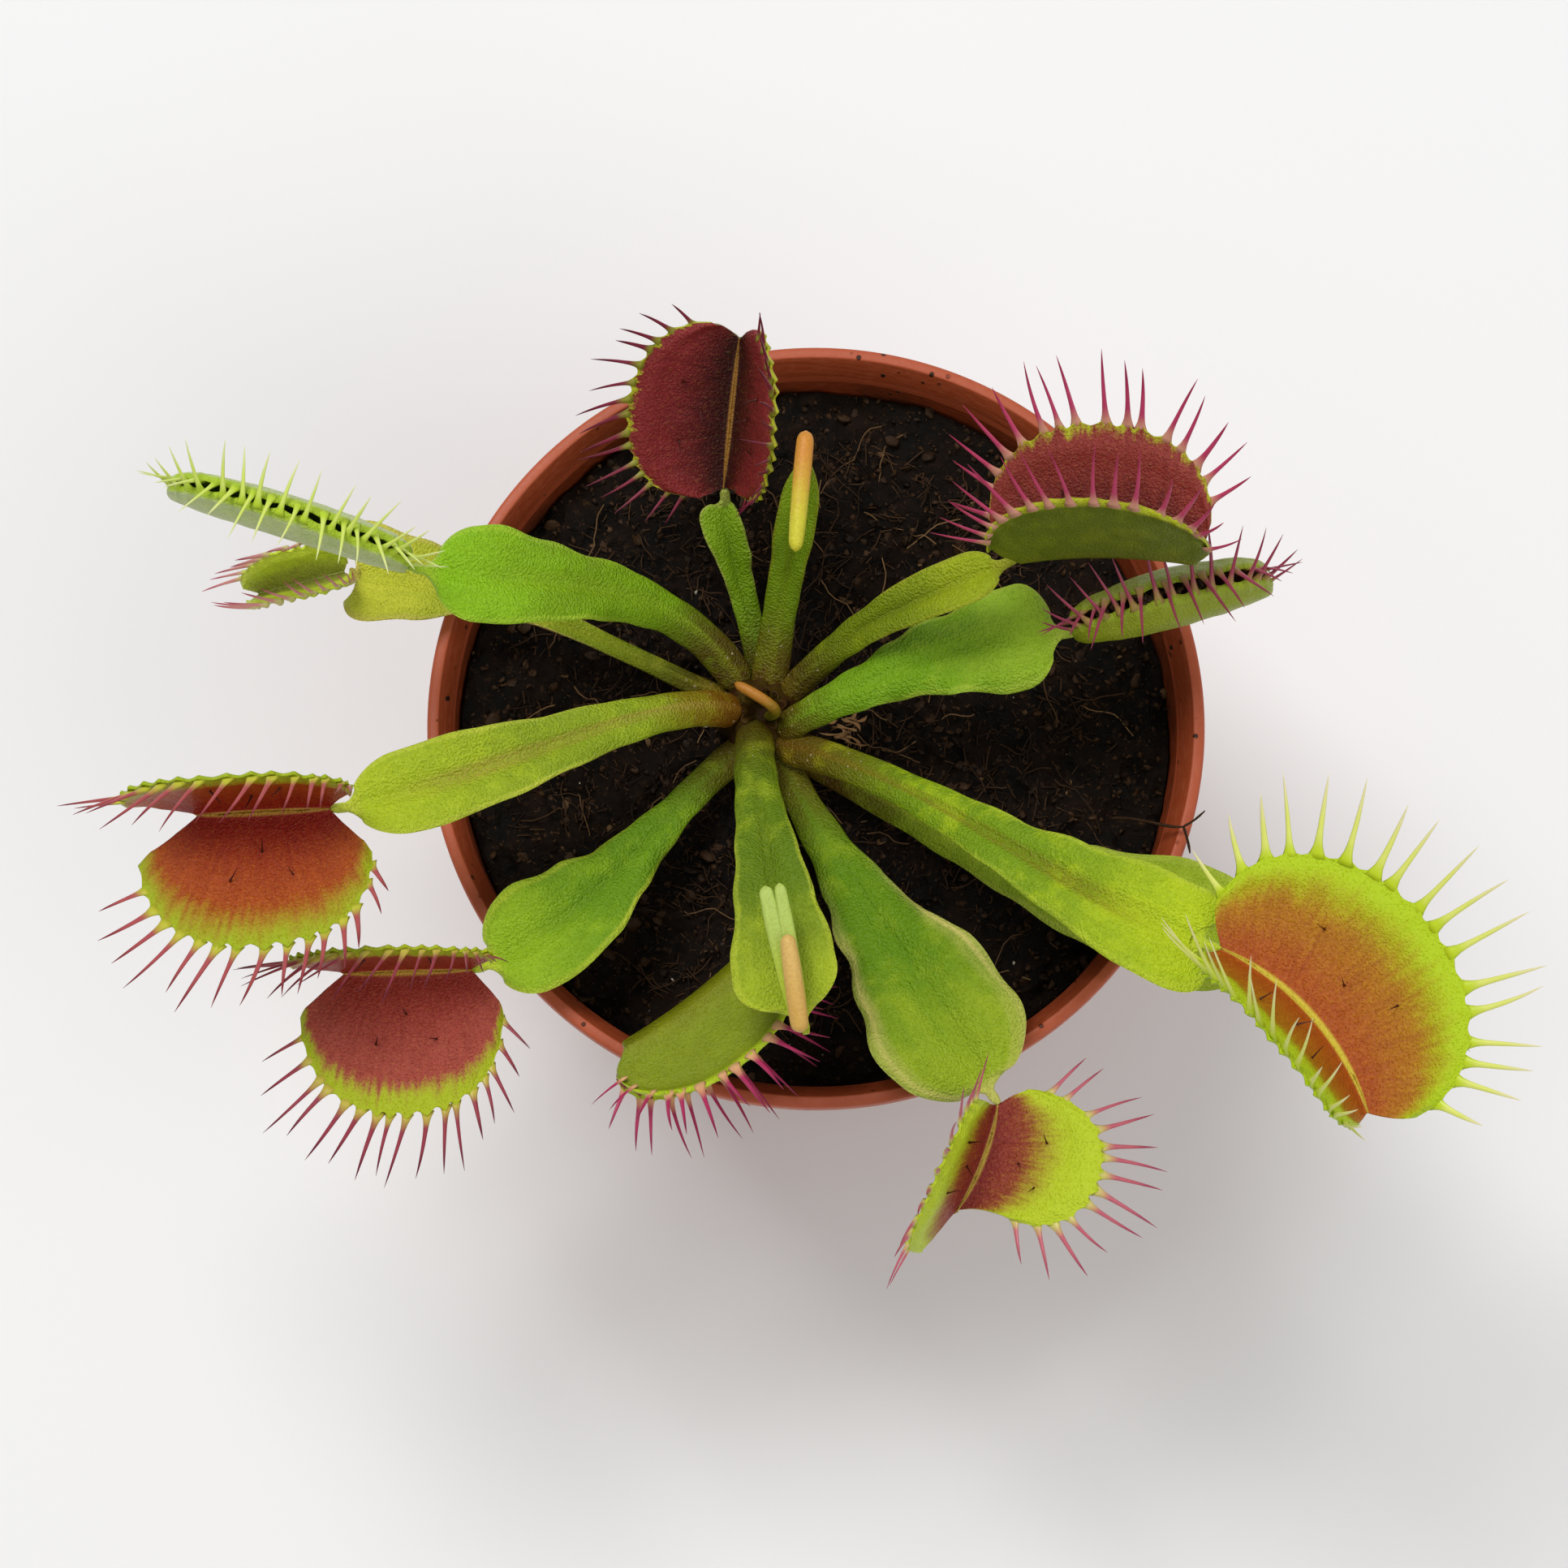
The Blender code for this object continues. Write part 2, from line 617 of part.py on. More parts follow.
def make_trap(name, start, trap, draw, collection, material):
    """Two thin lobes hinged on a midrib, with a row of teeth along each margin."""
    count = trap["teeth"]
    frames = midrib_frames(start, trap, count)
    lobes = (Lobe(trap, frames, 1), Lobe(trap, frames, -1))
    points, faces = [], []

    def add(point):
        points.append(point)
        return len(points) - 1

    inner_mid, outer_mid, layers = [], [], []
    for column, (place, way, side, up) in enumerate(frames):
        bisector = Vector((0, 0, 0))
        for lobe in lobes:
            angle = math.radians(lobe.rise[0])
            bisector += side * lobe.sign * math.cos(angle) + up * math.sin(angle)
        inner_mid.append(add(place))
        outer_mid.append(add(place - bisector.normalized() * MIDRIB_THICKNESS))
        for lobe in lobes:
            rows = []
            for v in LOBE_ROWS:
                thick = MIDRIB_THICKNESS + (LOBE_THICKNESS - MIDRIB_THICKNESS) * min(1, v / 0.7)
                rows.append((add(lobe.point(column, v)), add(lobe.point(column, v, thick))))
            layers.append(rows)

    for side_number, lobe in enumerate(lobes):
        shift = TOOTH_SHIFT * lobe.sign
        for column in range(count):
            after = column + 1
            left = [(inner_mid[column], outer_mid[column])] + layers[2 * column + side_number]
            right = [(inner_mid[after], outer_mid[after])] + layers[2 * after + side_number]
            middle = column + 0.5 - shift
            half = TOOTH_WIDTH / 2
            feet = []
            for spot in (middle - half, middle + half):
                inner = lobe.point(spot, TOOTH_FOOT)
                outer = lobe.point(spot, TOOTH_FOOT, LOBE_THICKNESS)
                feet.append((add(inner), add(outer)))
            for layer in (0, 1):
                for row in range(2):
                    a, b = left[row][layer], right[row][layer]
                    c, d = right[row + 1][layer], left[row + 1][layer]
                    faces += [(a, b, c), (a, c, d)]
                a, b = left[2][layer], right[2][layer]
                c, d = right[3][layer], left[3][layer]
                e, f = feet[1][layer], feet[0][layer]
                faces += [(a, b, e), (b, c, e), (a, e, f), (a, f, d)]
            for near, far in ((left[3], feet[0]), (feet[1], right[3])):
                faces += [(near[0], far[0], far[1]), (near[0], far[1], near[1])]
            root = [feet[0][0], feet[1][0], feet[1][1], feet[0][1]]
            centre = sum((points[index] for index in root), Vector()) / 4
            across = 2 * (column + 0.5) / count - 1
            reach = trap["tooth"] * (1 - 0.35 * across**2) * draw.uniform(0.9, 1.06)
            lean = trap["lean"] * draw.uniform(0.8, 1.2)
            lower, upper = reach * WAIST_PLACE, reach * (1 - WAIST_PLACE)
            waist_centre = centre + lobe.tooth_way(middle, lean * 0.6) * lower
            tip = waist_centre + lobe.tooth_way(middle, lean * 1.5) * upper
            waist = [add(waist_centre + (points[index] - centre) * WAIST_SIZE) for index in root]
            top = add(tip)
            for k in range(4):
                m = (k + 1) % 4
                faces += [(root[k], root[m], waist[m]), (root[k], waist[m], waist[k])]
                faces.append((waist[k], waist[m], top))

    for column in (0, count):
        for side_number in (0, 1):
            edge = [(inner_mid[column], outer_mid[column])] + layers[2 * column + side_number]
            for near, far in zip(edge, edge[1:]):
                faces += [(near[0], near[1], far[1]), (near[0], far[1], far[0])]
    return add_solid(f"trap_{name}", points, faces, collection, material)


def trap_start(leaf):
    """Just past the neck's end, at the height of its middle."""
    way = direction(*leaf["end"])
    neck_middle = Vector(leaf["neck"]) - stalk_frame(way)[1] * NECK_DIAMETER / 2
    trap = leaf["trap"]
    ahead = direction(trap["heading"], trap["rise"])
    half_turn = (way + ahead).normalized()
    return neck_middle + half_turn * (GAP + TRAP_STEP) + stalk_frame(ahead)[1] * MIDRIB_THICKNESS / 2


def pod_swell(t):
    """How full a folded trap is, a share t along it: rounded where it starts, slim at its tip."""
    return 0.35 + 0.65 * math.sin(math.pi * (0.12 + 0.86 * t) ** 0.9)


def make_young_trap(name, leaf, collection, material):
    """A slim closed pod that rests on its neck and points back along the stalk."""
    young = leaf["young"]
    start = Vector(leaf["neck"]) + Vector((0, 0, GAP + young["depth"] / 2 * pod_swell(0)))
    tip = Vector(young["tip"])
    way = (tip - start).normalized()
    side, up = stalk_frame(way)
    rings = []
    for ring in range(YOUNG_RINGS):
        t = ring / (YOUNG_RINGS - 1)
        swell = pod_swell(t)
        place = start.lerp(tip, t) + up * 0.8 * math.sin(math.pi * t)
        points = []
        for number in range(YOUNG_SIDES):
            angle = 2 * math.pi * (number + 0.5) / YOUNG_SIDES
            across = math.cos(angle) * young["width"] / 2
            high = math.sin(angle) * young["depth"] / 2
            points.append(place + (side * across + up * high) * swell)
        rings.append(points)
    points = [point for ring in rings for point in ring]
    return add_solid(f"young_trap_{name}", points, loft(rings), collection, material)


def make_bud(collection, material):
    """The newest shoot: a short stalk from the crown's centre, folded over at its top."""
    seat, _ = crown_seat(0, 0)
    hook = (
        seat,
        seat + Vector((3.4, -1.2, 6.0)),
        seat + Vector((1.4, 0.2, 7.0)),
        seat + Vector((-2.8, 1.6, 4.6)),
    )
    spline_points = [bezier(hook, step / 10)[0] for step in range(11)]
    curve = bpy.data.curves.new("bud", "CURVE")
    curve.dimensions = "3D"
    curve.bevel_depth = 0.7 * MILLIMETRE
    curve.bevel_resolution = 2
    curve.use_fill_caps = True
    spline = curve.splines.new("POLY")
    spline.points.add(len(spline_points) - 1)
    for point, place in zip(spline.points, spline_points):
        point.co = (*(place * MILLIMETRE), 1.0)
    for number, point in enumerate(spline.points):
        point.radius = 1.1 - 0.04 * number
    curve.materials.append(material)
    bud = bpy.data.objects.new("bud", curve)
    collection.objects.link(bud)
    return bud


def main():
    clear_scene()
    plant = new_collection("potted_venus_flytrap")
    cutters = new_collection("cutters")
    cutters.hide_render = True
    materials = {name: new_material(name) for name in COLOURS}
    make_pot(plant, cutters, materials["pot"])
    make_soil(plant, materials["soil"])
    make_crown(plant, materials["crown"])
    draw = random.Random(SEED)
    for name, leaf in LEAVES.items():
        make_stalk(name, leaf, plant, materials["petiole"])
        if "young" in leaf:
            make_young_trap(name, leaf, plant, materials["trap_green"])
        else:
            trap = leaf["trap"]
            make_trap(name, trap_start(leaf), trap, draw, plant, materials[trap["colour"]])
    make_bud(plant, materials["crown"])


main()
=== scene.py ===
import json
import math
import random

import bpy
import numpy as np
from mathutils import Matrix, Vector, noise

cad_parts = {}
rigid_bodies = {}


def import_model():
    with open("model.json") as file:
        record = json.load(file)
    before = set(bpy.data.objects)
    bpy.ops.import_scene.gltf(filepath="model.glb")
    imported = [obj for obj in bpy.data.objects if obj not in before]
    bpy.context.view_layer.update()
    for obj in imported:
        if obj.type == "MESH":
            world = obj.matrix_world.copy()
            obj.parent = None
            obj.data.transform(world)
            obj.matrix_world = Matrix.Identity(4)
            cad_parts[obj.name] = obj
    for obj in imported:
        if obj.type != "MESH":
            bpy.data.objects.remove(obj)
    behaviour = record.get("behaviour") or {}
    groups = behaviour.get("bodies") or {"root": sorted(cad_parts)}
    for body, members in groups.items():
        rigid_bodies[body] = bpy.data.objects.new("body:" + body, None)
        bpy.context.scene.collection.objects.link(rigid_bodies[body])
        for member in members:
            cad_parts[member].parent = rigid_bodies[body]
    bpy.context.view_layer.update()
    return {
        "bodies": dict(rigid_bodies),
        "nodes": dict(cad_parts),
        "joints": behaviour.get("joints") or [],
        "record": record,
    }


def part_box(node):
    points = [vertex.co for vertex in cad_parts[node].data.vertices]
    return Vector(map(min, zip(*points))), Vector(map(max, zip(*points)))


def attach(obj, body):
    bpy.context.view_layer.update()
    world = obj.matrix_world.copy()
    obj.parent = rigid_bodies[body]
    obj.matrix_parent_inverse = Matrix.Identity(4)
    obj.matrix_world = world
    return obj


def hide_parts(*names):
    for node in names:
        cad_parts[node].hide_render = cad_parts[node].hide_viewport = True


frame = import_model()
mm = 0.001


def tone(*channels):  # an everyday 0-255 colour, as the linear one a shader wants
    shares = [channel / 255 for channel in channels]
    return (*(share / 12.92 if share < 0.04 else ((share + 0.055) / 1.055) ** 2.4 for share in shares), 1.0)


class Value:  # one output of a node, which takes + - and * as a plain number does
    def __init__(self, tree, socket):
        self.tree, self.socket = tree, socket

    def __add__(self, other):
        return sums("ADD", self, other)

    def __sub__(self, other):
        return sums("SUBTRACT", self, other)

    def __mul__(self, other):
        return sums("MULTIPLY", self, other)


class Outputs:  # all the outputs of a node, by name or number
    def __init__(self, tree, node):
        self.tree, self.node = tree, node

    def __getitem__(self, key):
        return Value(self.tree, self.node.outputs[key])


def addNode(tree, kind, inputs=None, **settings):  # inputs are linked where they come from a node
    node = tree.nodes.new(kind)
    for label, value in settings.items():
        setattr(node, label, value)
    for key, value in (inputs or {}).items():
        if isinstance(value, Value):
            tree.links.new(value.socket, node.inputs[key])
        else:
            node.inputs[key].default_value = value
    return Outputs(tree, node)


def treeOf(*values):  # the tree that some of these values are in
    return next(value.tree for value in values if isinstance(value, Value))


def connect(sockets, **values):
    for label, value in values.items():
        value.tree.links.new(value.socket, sockets[label.replace("_", " ")])


def sums(operation, first, second=0.0, clamp=False):
    inputs = {0: first, 1: second}
    return addNode(treeOf(first, second), "ShaderNodeMath", inputs, operation=operation, use_clamp=clamp)[0]


def vectorSums(operation, first, second):
    key = "Scale" if operation == "SCALE" else 1
    return addNode(first.tree, "ShaderNodeVectorMath", {0: first, key: second}, operation=operation)[0]


def joinVector(x=0.0, y=0.0, z=0.0):
    return addNode(treeOf(x, y, z), "ShaderNodeCombineXYZ", {0: x, 1: y, 2: z})[0]


def splitVector(vector):
    parts = addNode(vector.tree, "ShaderNodeSeparateXYZ", {0: vector})
    return parts[0], parts[1], parts[2]


def blendTones(factor, first, second, mode="MIX"):
    inputs = {0: factor, 6: first, 7: second}
    return addNode(factor.tree, "ShaderNodeMix", inputs, data_type="RGBA", blend_type=mode)[2]


def darken(factor, colour, red, green, blue):  # multiplies a colour where the factor says so
    return blendTones(factor, colour, (red, green, blue, 1), "MULTIPLY")


def fade(value, start, end, low=0.0, high=1.0):  # an eased step from low to high
    inputs = {0: value, 1: start, 2: end, 3: low, 4: high}
    return addNode(value.tree, "ShaderNodeMapRange", inputs, interpolation_type="SMOOTHSTEP")[0]


def cloud(vector, scale, detail=3.0, roughness=0.55, distortion=0.0):
    inputs = {"Vector": vector, "Scale": scale, "Detail": detail, "Roughness": roughness}
    inputs["Distortion"] = distortion
    return addNode(vector.tree, "ShaderNodeTexNoise", inputs)["Fac"]


def socketKind(value):  # the kind of socket for such a value; a word stands for geometry, None for a material
    if isinstance(value, tuple):
        return "NodeSocketColor" if len(value) == 4 else "NodeSocketVector"
    kinds = {float: "NodeSocketFloat", int: "NodeSocketInt", str: "NodeSocketGeometry"}
    return kinds.get(type(value), "NodeSocketMaterial")


def startTree(name, inputs, outputs, kind="ShaderNodeTree"):  # a group with named inputs and outputs
    tree = bpy.data.node_groups.new(name, kind)
    for label, value in inputs.items():
        socket = tree.interface.new_socket(label, in_out="INPUT", socket_type=socketKind(value))
        if isinstance(value, (tuple, float, int)):
            socket.default_value = value
    for label, value in outputs.items():
        tree.interface.new_socket(label, in_out="OUTPUT", socket_type=socketKind(value))
    return tree, Outputs(tree, tree.nodes.new("NodeGroupInput")), tree.nodes.new("NodeGroupOutput").inputs


def startMaterial(name, **constants):  # a Principled material and its shader's inputs
    material = bpy.data.materials.new(name)
    material.use_nodes = True
    tree = material.node_tree
    inputs = tree.nodes["Principled BSDF"].inputs
    for label, value in constants.items():
        inputs[label.replace("_", " ")].default_value = value
    return material, tree, inputs


def addGroup(tree, group, inputs):
    node = tree.nodes.new("ShaderNodeGroup")
    node.node_tree = group
    for label, value in inputs.items():
        if isinstance(value, Value):
            tree.links.new(value.socket, node.inputs[label])
        else:
            node.inputs[label].default_value = value
    return Outputs(tree, node)


def bump(height, distance):
    inputs = {"Height": height, "Distance": distance, "Strength": 1.0}
    return addNode(height.tree, "ShaderNodeBump", inputs)["Normal"]


def objectPlace(tree):
    return addNode(tree, "ShaderNodeTexCoord")["Object"]


def attributeVector(tree, name):
    return addNode(tree, "ShaderNodeAttribute", attribute_name=name)["Vector"]


def facesOut(points, faces):  # turns every face over if the closed shape is inside out
    total = 0.0
    for face in faces:
        a = points[face[0]]
        for second, third in zip(face[1:], face[2:]):
            total += np.dot(a, np.cross(points[second], points[third]))
    return faces if total > 0 else [tuple(reversed(face)) for face in faces]


def settle(name, mesh, replaced=()):  # puts a finished mesh into the scene as a piece of the pot plant
    piece = bpy.data.objects.new(name, mesh)
    bpy.context.scene.collection.objects.link(piece)
    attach(piece, "root")
    if replaced:
        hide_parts(*replaced)
    return piece


def makePiece(name, points, faces, material, slot, replaced=(), attributes=None):
    points = np.asarray(points, float)
    mesh = bpy.data.meshes.new(name)
    mesh.from_pydata((points * mm).tolist(), [], facesOut(points, faces))
    for label, values in (attributes or {}).items():
        layer = mesh.attributes.new(label, "FLOAT_VECTOR", "POINT")
        layer.data.foreach_set("vector", np.asarray(values, np.float32).ravel())
    mesh.materials.append(material)
    mesh.shade_smooth()
    return settle(name, mesh, replaced)


def makeSource(name, points, faces=()):  # a bare helper object that a node tree grows things on
    mesh = bpy.data.meshes.new(name)
    mesh.from_pydata((np.asarray(points) * mm).tolist(), [], faces)
    mesh.update()
    source = bpy.data.objects.new(name, mesh)
    bpy.context.scene.collection.objects.link(source)
    return source


def loftFaces(rows, columns):  # quads between rings that follow each other in one list
    faces = []
    for row in range(rows - 1):
        for k in range(columns):
            a, b = row * columns + k, row * columns + (k + 1) % columns
            faces.append((a, b, b + columns, a + columns))
    return faces


def lidFaces(rows, columns):  # one flat face over each end of such rings
    last = (rows - 1) * columns
    return [tuple(reversed(range(columns))), tuple(range(last, last + columns))]


def endFaces(start, count):  # closes a flat ring: its first half is the top, its second the bottom
    faces = []
    for k in range(count // 2 - 1):
        upper, lower = start + k, start + count - 1 - k
        faces.append((upper, upper + 1, lower - 1, lower))
    return faces


def makeStreakGroup():  # fine lines that run along a surface's own first direction
    inputs = {"Vector": (0, 0, 0), "Lines": 20.0, "Stretch": 1.5}
    tree, given, out = startTree("streaks", inputs, {"Lines": 0.0, "Blotches": 0.0})
    x, y, z = splitVector(given["Vector"])
    spot = joinVector(x * given["Stretch"], y * given["Lines"], z)
    connect(out, Lines=cloud(spot, 1.0, 4.0, 0.62, 0.25), Blotches=cloud(spot, 0.33, 2.0, 0.5, 0.6))
    return tree


def makeGlandGroup():  # tiny dots of glands all over a skin
    tree, given, out = startTree("glands", {"Place": (0, 0, 0), "Spacing": 0.0004}, {"Dots": 0.0})
    scale = sums("DIVIDE", 1.0, given["Spacing"])
    inputs = {"Vector": given["Place"], "Scale": scale, "Randomness": 0.8}
    cells = addNode(tree, "ShaderNodeTexVoronoi", inputs)
    connect(out, Dots=fade(cells["Distance"], 0.12, 0.42, 1.0, 0.0))
    return tree


def makeGritGroup():  # loose grains of soil and dust stuck to a surface
    tree, given, out = startTree("grit", {"Place": (0, 0, 0), "Size": 0.0006, "Amount": 0.2}, {"Grains": 0.0})
    scale = sums("DIVIDE", 1.0, given["Size"])
    cells = addNode(tree, "ShaderNodeTexVoronoi", {"Vector": given["Place"], "Scale": scale})
    chosen = sums("LESS_THAN", splitVector(cells["Color"])[0], given["Amount"])
    near = fade(cells["Distance"], 0.22, 0.4, 1.0, 0.0)
    patchy = fade(cloud(given["Place"], scale * 0.14), 0.42, 0.58)
    connect(out, Grains=chosen * near * patchy)
    return tree


streakGroup, glandGroup, gritGroup = makeStreakGroup(), makeGlandGroup(), makeGritGroup()

potLow, potHigh = (np.array(corner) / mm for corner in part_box("pot"))
potSizes = {
    "height": potHigh[2],
    "rimRadius": (potHigh[0] - potLow[0]) / 2,
    "baseRadius": 30.0,
    "wall": 1.2,
    "lip": 2.2,  # how far the rim stands out past the collar's inside
    "lipHeight": 2.5,
    "lipTop": 1.2,  # width of the flat on top of the rim
    "floor": 1.5,
    "collarHeight": 12.0,
    "collarStep": 1.6,
    "drains": 8,
    "drainTurn": 0.4,  # of the way from one drain to the next
    "drainDiameter": 4.0,
    "drainRing": 22.5,
    "grooveDepth": 0.9,
    "grooveWidth": 5.0,
    "flatRadius": 18.5,  # of the base inside the grooves
    "segments": 288,
    "sharpEdge": 40,  # degrees
}
# the inside tone and the lip's tone are darker as painted shade, and the top tone is lighter as a painted
# highlight on the rim's flat top
potTones = {
    "wall": tone(168, 76, 44), "top": tone(178, 86, 56), "bevel": tone(150, 65, 33),
    "inner": tone(112, 44, 14), "patch": tone(150, 62, 34), "scuff": tone(206, 122, 92),
    "soil": tone(58, 32, 17), "grit": tone(40, 24, 14),
}


def turnProfile(profile, segments):  # rings of points about Z; the ends of the profile lie on the axis
    angles = np.linspace(0, 2 * math.pi, segments, endpoint=False)
    points, faces = [(0, 0, profile[0][1])], []
    for radius, height in profile[1:-1]:
        points += [(radius * math.cos(a), radius * math.sin(a), height) for a in angles]
    points.append((0, 0, profile[-1][1]))
    last = len(points) - 1
    lastRing = 1 + (len(profile) - 3) * segments
    for k in range(segments):
        after = (k + 1) % segments
        faces += [(0, 1 + k, 1 + after), (last, lastRing + after, lastRing + k)]
    for ring in range(len(profile) - 3):
        for k in range(segments):
            a, b = 1 + ring * segments + k, 1 + ring * segments + (k + 1) % segments
            faces.append((a, a + segments, b + segments, b))
    return np.array(points), faces


def roundedCorner(centre, radius, start, end, steps=5):  # points of an arc, for a profile
    turns = np.radians(np.linspace(start, end, steps))
    return [(centre[0] + radius * math.cos(turn), centre[1] + radius * math.sin(turn)) for turn in turns]


def makePotMaterial():
    p, tones = potSizes, potTones
    material, tree, shader = startMaterial("potPlastic", Specular_IOR_Level=0.25)
    place = objectPlace(tree)
    x, y, z = splitVector(place)
    radius = sums("SQRT", x * x + y * y)
    height = p["height"] * mm
    collarInside = p["rimRadius"] - p["lip"]
    wallSlope = (collarInside - p["collarStep"] - p["baseRadius"]) / (p["height"] - p["collarHeight"])
    wallRadius = z * wallSlope + (p["baseRadius"] - p["wall"] / 2) * mm
    isCollar = sums("GREATER_THAN", z, height - p["collarHeight"] * mm)
    middle = sums("MAXIMUM", wallRadius, isCollar * ((collarInside - p["wall"] / 2) * mm))
    inside = sums("LESS_THAN", radius, middle) * sums("GREATER_THAN", z, p["floor"] * 0.9 * mm)
    # painted shade: the inside of the pot gets a darker brown than the outside wall
    colour = blendTones(inside, tones["wall"], tones["inner"])
    colour = blendTones(fade(cloud(place, 45.0), 0.35, 0.7, 0.0, 0.35), colour, tones["patch"])
    # painted shade: the sides of the rim get a darker tone
    onLip = sums("GREATER_THAN", z, height - p["lipHeight"] * mm)
    colour = blendTones(onLip, colour, tones["bevel"])
    # painted highlight: the flat top of the rim gets a lighter tone
    topEdge = p["rimRadius"] - p["lipTop"]
    rimTopHighlight = fade(radius, (topEdge - 0.15) * mm, (topEdge + 0.05) * mm) * onLip
    colour = blendTones(rimTopHighlight, colour, tones["top"])
    scuffs = cloud(vectorSums("MULTIPLY", place, (900, 900, 2600)), 1.0, 4.0, 0.6)
    colour = blendTones(fade(scuffs, 0.42, 0.75, 0.0, 0.14), colour, tones["scuff"])
    low = fade(z, height - 12 * mm, height - 3 * mm, 1.0, 0.25)
    soiled = inside * low * fade(cloud(place, 160.0, 4.0, 0.6), 0.38, 0.62)
    colour = blendTones(soiled, colour, tones["soil"])
    grit = addGroup(tree, gritGroup, {"Place": place, "Size": 0.0009, "Amount": 0.10})["Grains"]
    grit = grit * fade(z, height - 16 * mm, height - 1 * mm, 0.1, 1.0)
    colour = blendTones(grit, colour, tones["grit"])
    fine = cloud(place, 2600.0, 2.0)
    roughness = scuffs * 0.3 + fade(fine, 0.2, 0.8, 0.26, 0.38)
    turningLines = cloud(vectorSums("MULTIPLY", place, (120, 120, 1500)), 1.0, 2.0)
    relief = fine * 0.25 + (grit * 1.2 + turningLines)
    connect(shader, Base_Color=colour, Roughness=roughness, Normal=bump(relief, 0.00009))
    return material


def potProfile():  # half of the pot's section, from the middle of its floor round to the middle of its base
    p = potSizes
    top, step = p["height"], p["height"] - p["collarHeight"]
    outer = p["rimRadius"] - p["lip"] - p["collarStep"]
    collar = outer + p["collarStep"]
    lipIn, lipOut = p["rimRadius"] - p["lip"], p["rimRadius"]
    base, wall = p["baseRadius"], p["wall"]
    return [
        (0, p["floor"]), (base * 0.5, p["floor"]),
        *roundedCorner((base - wall - 1.2, p["floor"] + 1.2), 1.2, -90, -10),
        (outer - wall - 0.15, step - 0.3), (outer - wall + 0.1, step),
        (collar - wall - 0.2, step + 0.15), (collar - wall, step + 0.6), (lipIn - 0.45, top - 2.3),
        *roundedCorner((lipOut - p["lipTop"] + 0.15, top - 0.25), 0.25, 150, 90, 4),
        *roundedCorner((lipOut - 0.5, top - 0.5), 0.5, 80, 0),
        *roundedCorner((lipOut - 0.35, top - 1.85), 0.35, -10, -80, 4),
        *roundedCorner((collar + 0.45, top - 2.65), 0.35, 100, 180, 4),
        (collar + 0.05, step + 0.2),
        *roundedCorner((collar - 0.35, step - wall + 0.4), 0.4, -5, -85, 4),
        (outer + 0.25, step - wall), (outer + 0.02, step - wall - 0.25), (outer - 0.15, step - wall - 1.5),
        (base + 0.1, 1.2),
        *roundedCorner((base - 0.6, 0.6), 0.6, 0, -90),
        (base * 0.9, 0), (base * 0.4, 0), (0, 0),
    ]


def makePot():
    p = potSizes
    pot = makePiece("potShell", *turnProfile(potProfile(), p["segments"]), makePotMaterial(), "pot", ["pot"])
    cutters = []
    length = p["baseRadius"] + 2 - p["flatRadius"]  # of a groove, past the pot's edge
    for number in range(p["drains"]):
        angle = math.radians((number + p["drainTurn"]) * 360 / p["drains"])
        across = Vector((math.cos(angle), math.sin(angle), 0))
        bpy.ops.mesh.primitive_cube_add(
            size=1, rotation=(0, 0, angle), location=across * (p["flatRadius"] + length / 2) * mm,
            scale=(length * mm, p["grooveWidth"] * mm, 2 * p["grooveDepth"] * mm),
        )
        cutters.append(bpy.context.object)
        bpy.ops.mesh.primitive_cylinder_add(
            vertices=28, radius=p["drainDiameter"] / 2 * mm, depth=8 * mm,
            location=across * p["drainRing"] * mm,
        )
        cutters.append(bpy.context.object)
    for cutter in cutters:
        cut = pot.modifiers.new("cut", "BOOLEAN")
        cut.operation = "DIFFERENCE"
        cut.solver = "EXACT"
        cut.object = cutter
    mesh = bpy.data.meshes.new_from_object(pot.evaluated_get(bpy.context.evaluated_depsgraph_get()))
    pot.modifiers.clear()
    pot.data = mesh
    mesh.shade_smooth()
    mesh.set_sharp_from_angle(angle=math.radians(p["sharpEdge"]))
    for cutter in cutters:
        bpy.data.objects.remove(cutter)


makePot()
print("pot made")

crownPlace = {"x": -6.0, "y": 1.7, "radius": 4.8, "level": 58.5, "dome": 5.0, "depth": 14.0}
soilSizes = {
    "level": 56.8,
    "tilt": 1.8,
    "roughness": 0.5,
    "clods": ((0.16, 0.9), (0.5, 1.1), (1.1, 0.7), (2.3, 0.2)),  # how close together (per mm) and how high
    "segments": 320,
    "rings": 112,
    "fibreReach": 0.86,  # how far out, as a share of the way to the wall, fibres are strewn
}
soilTones = {
    "dark": tone(12, 7, 3), "clump": tone(32, 20, 12), "brown": tone(76, 51, 29), "thread": tone(96, 68, 42),
}


def soilHeight(x, y):
    s = soilSizes
    tilt = s["tilt"] * (y - x) / (1.6 * potSizes["rimRadius"])
    lumps = (
        math.sin(0.31 * x + 1.1) * math.cos(0.27 * y - 0.4)
        + 0.6 * math.sin(0.52 * x - 0.47 * y + 2.0)
        + 0.4 * math.cos(0.83 * x + 0.71 * y)
    )
    nearCrown = math.exp(-((x - crownPlace["x"]) ** 2 + (y - crownPlace["y"]) ** 2) / 120)
    height = s["level"] + (tilt + s["roughness"] * lumps) * (1 - nearCrown) - 0.6 * nearCrown
    for closeness, rise in s["clods"]:
        height += rise * noise.noise(Vector((x * closeness, y * closeness, 3.7)))
    return height


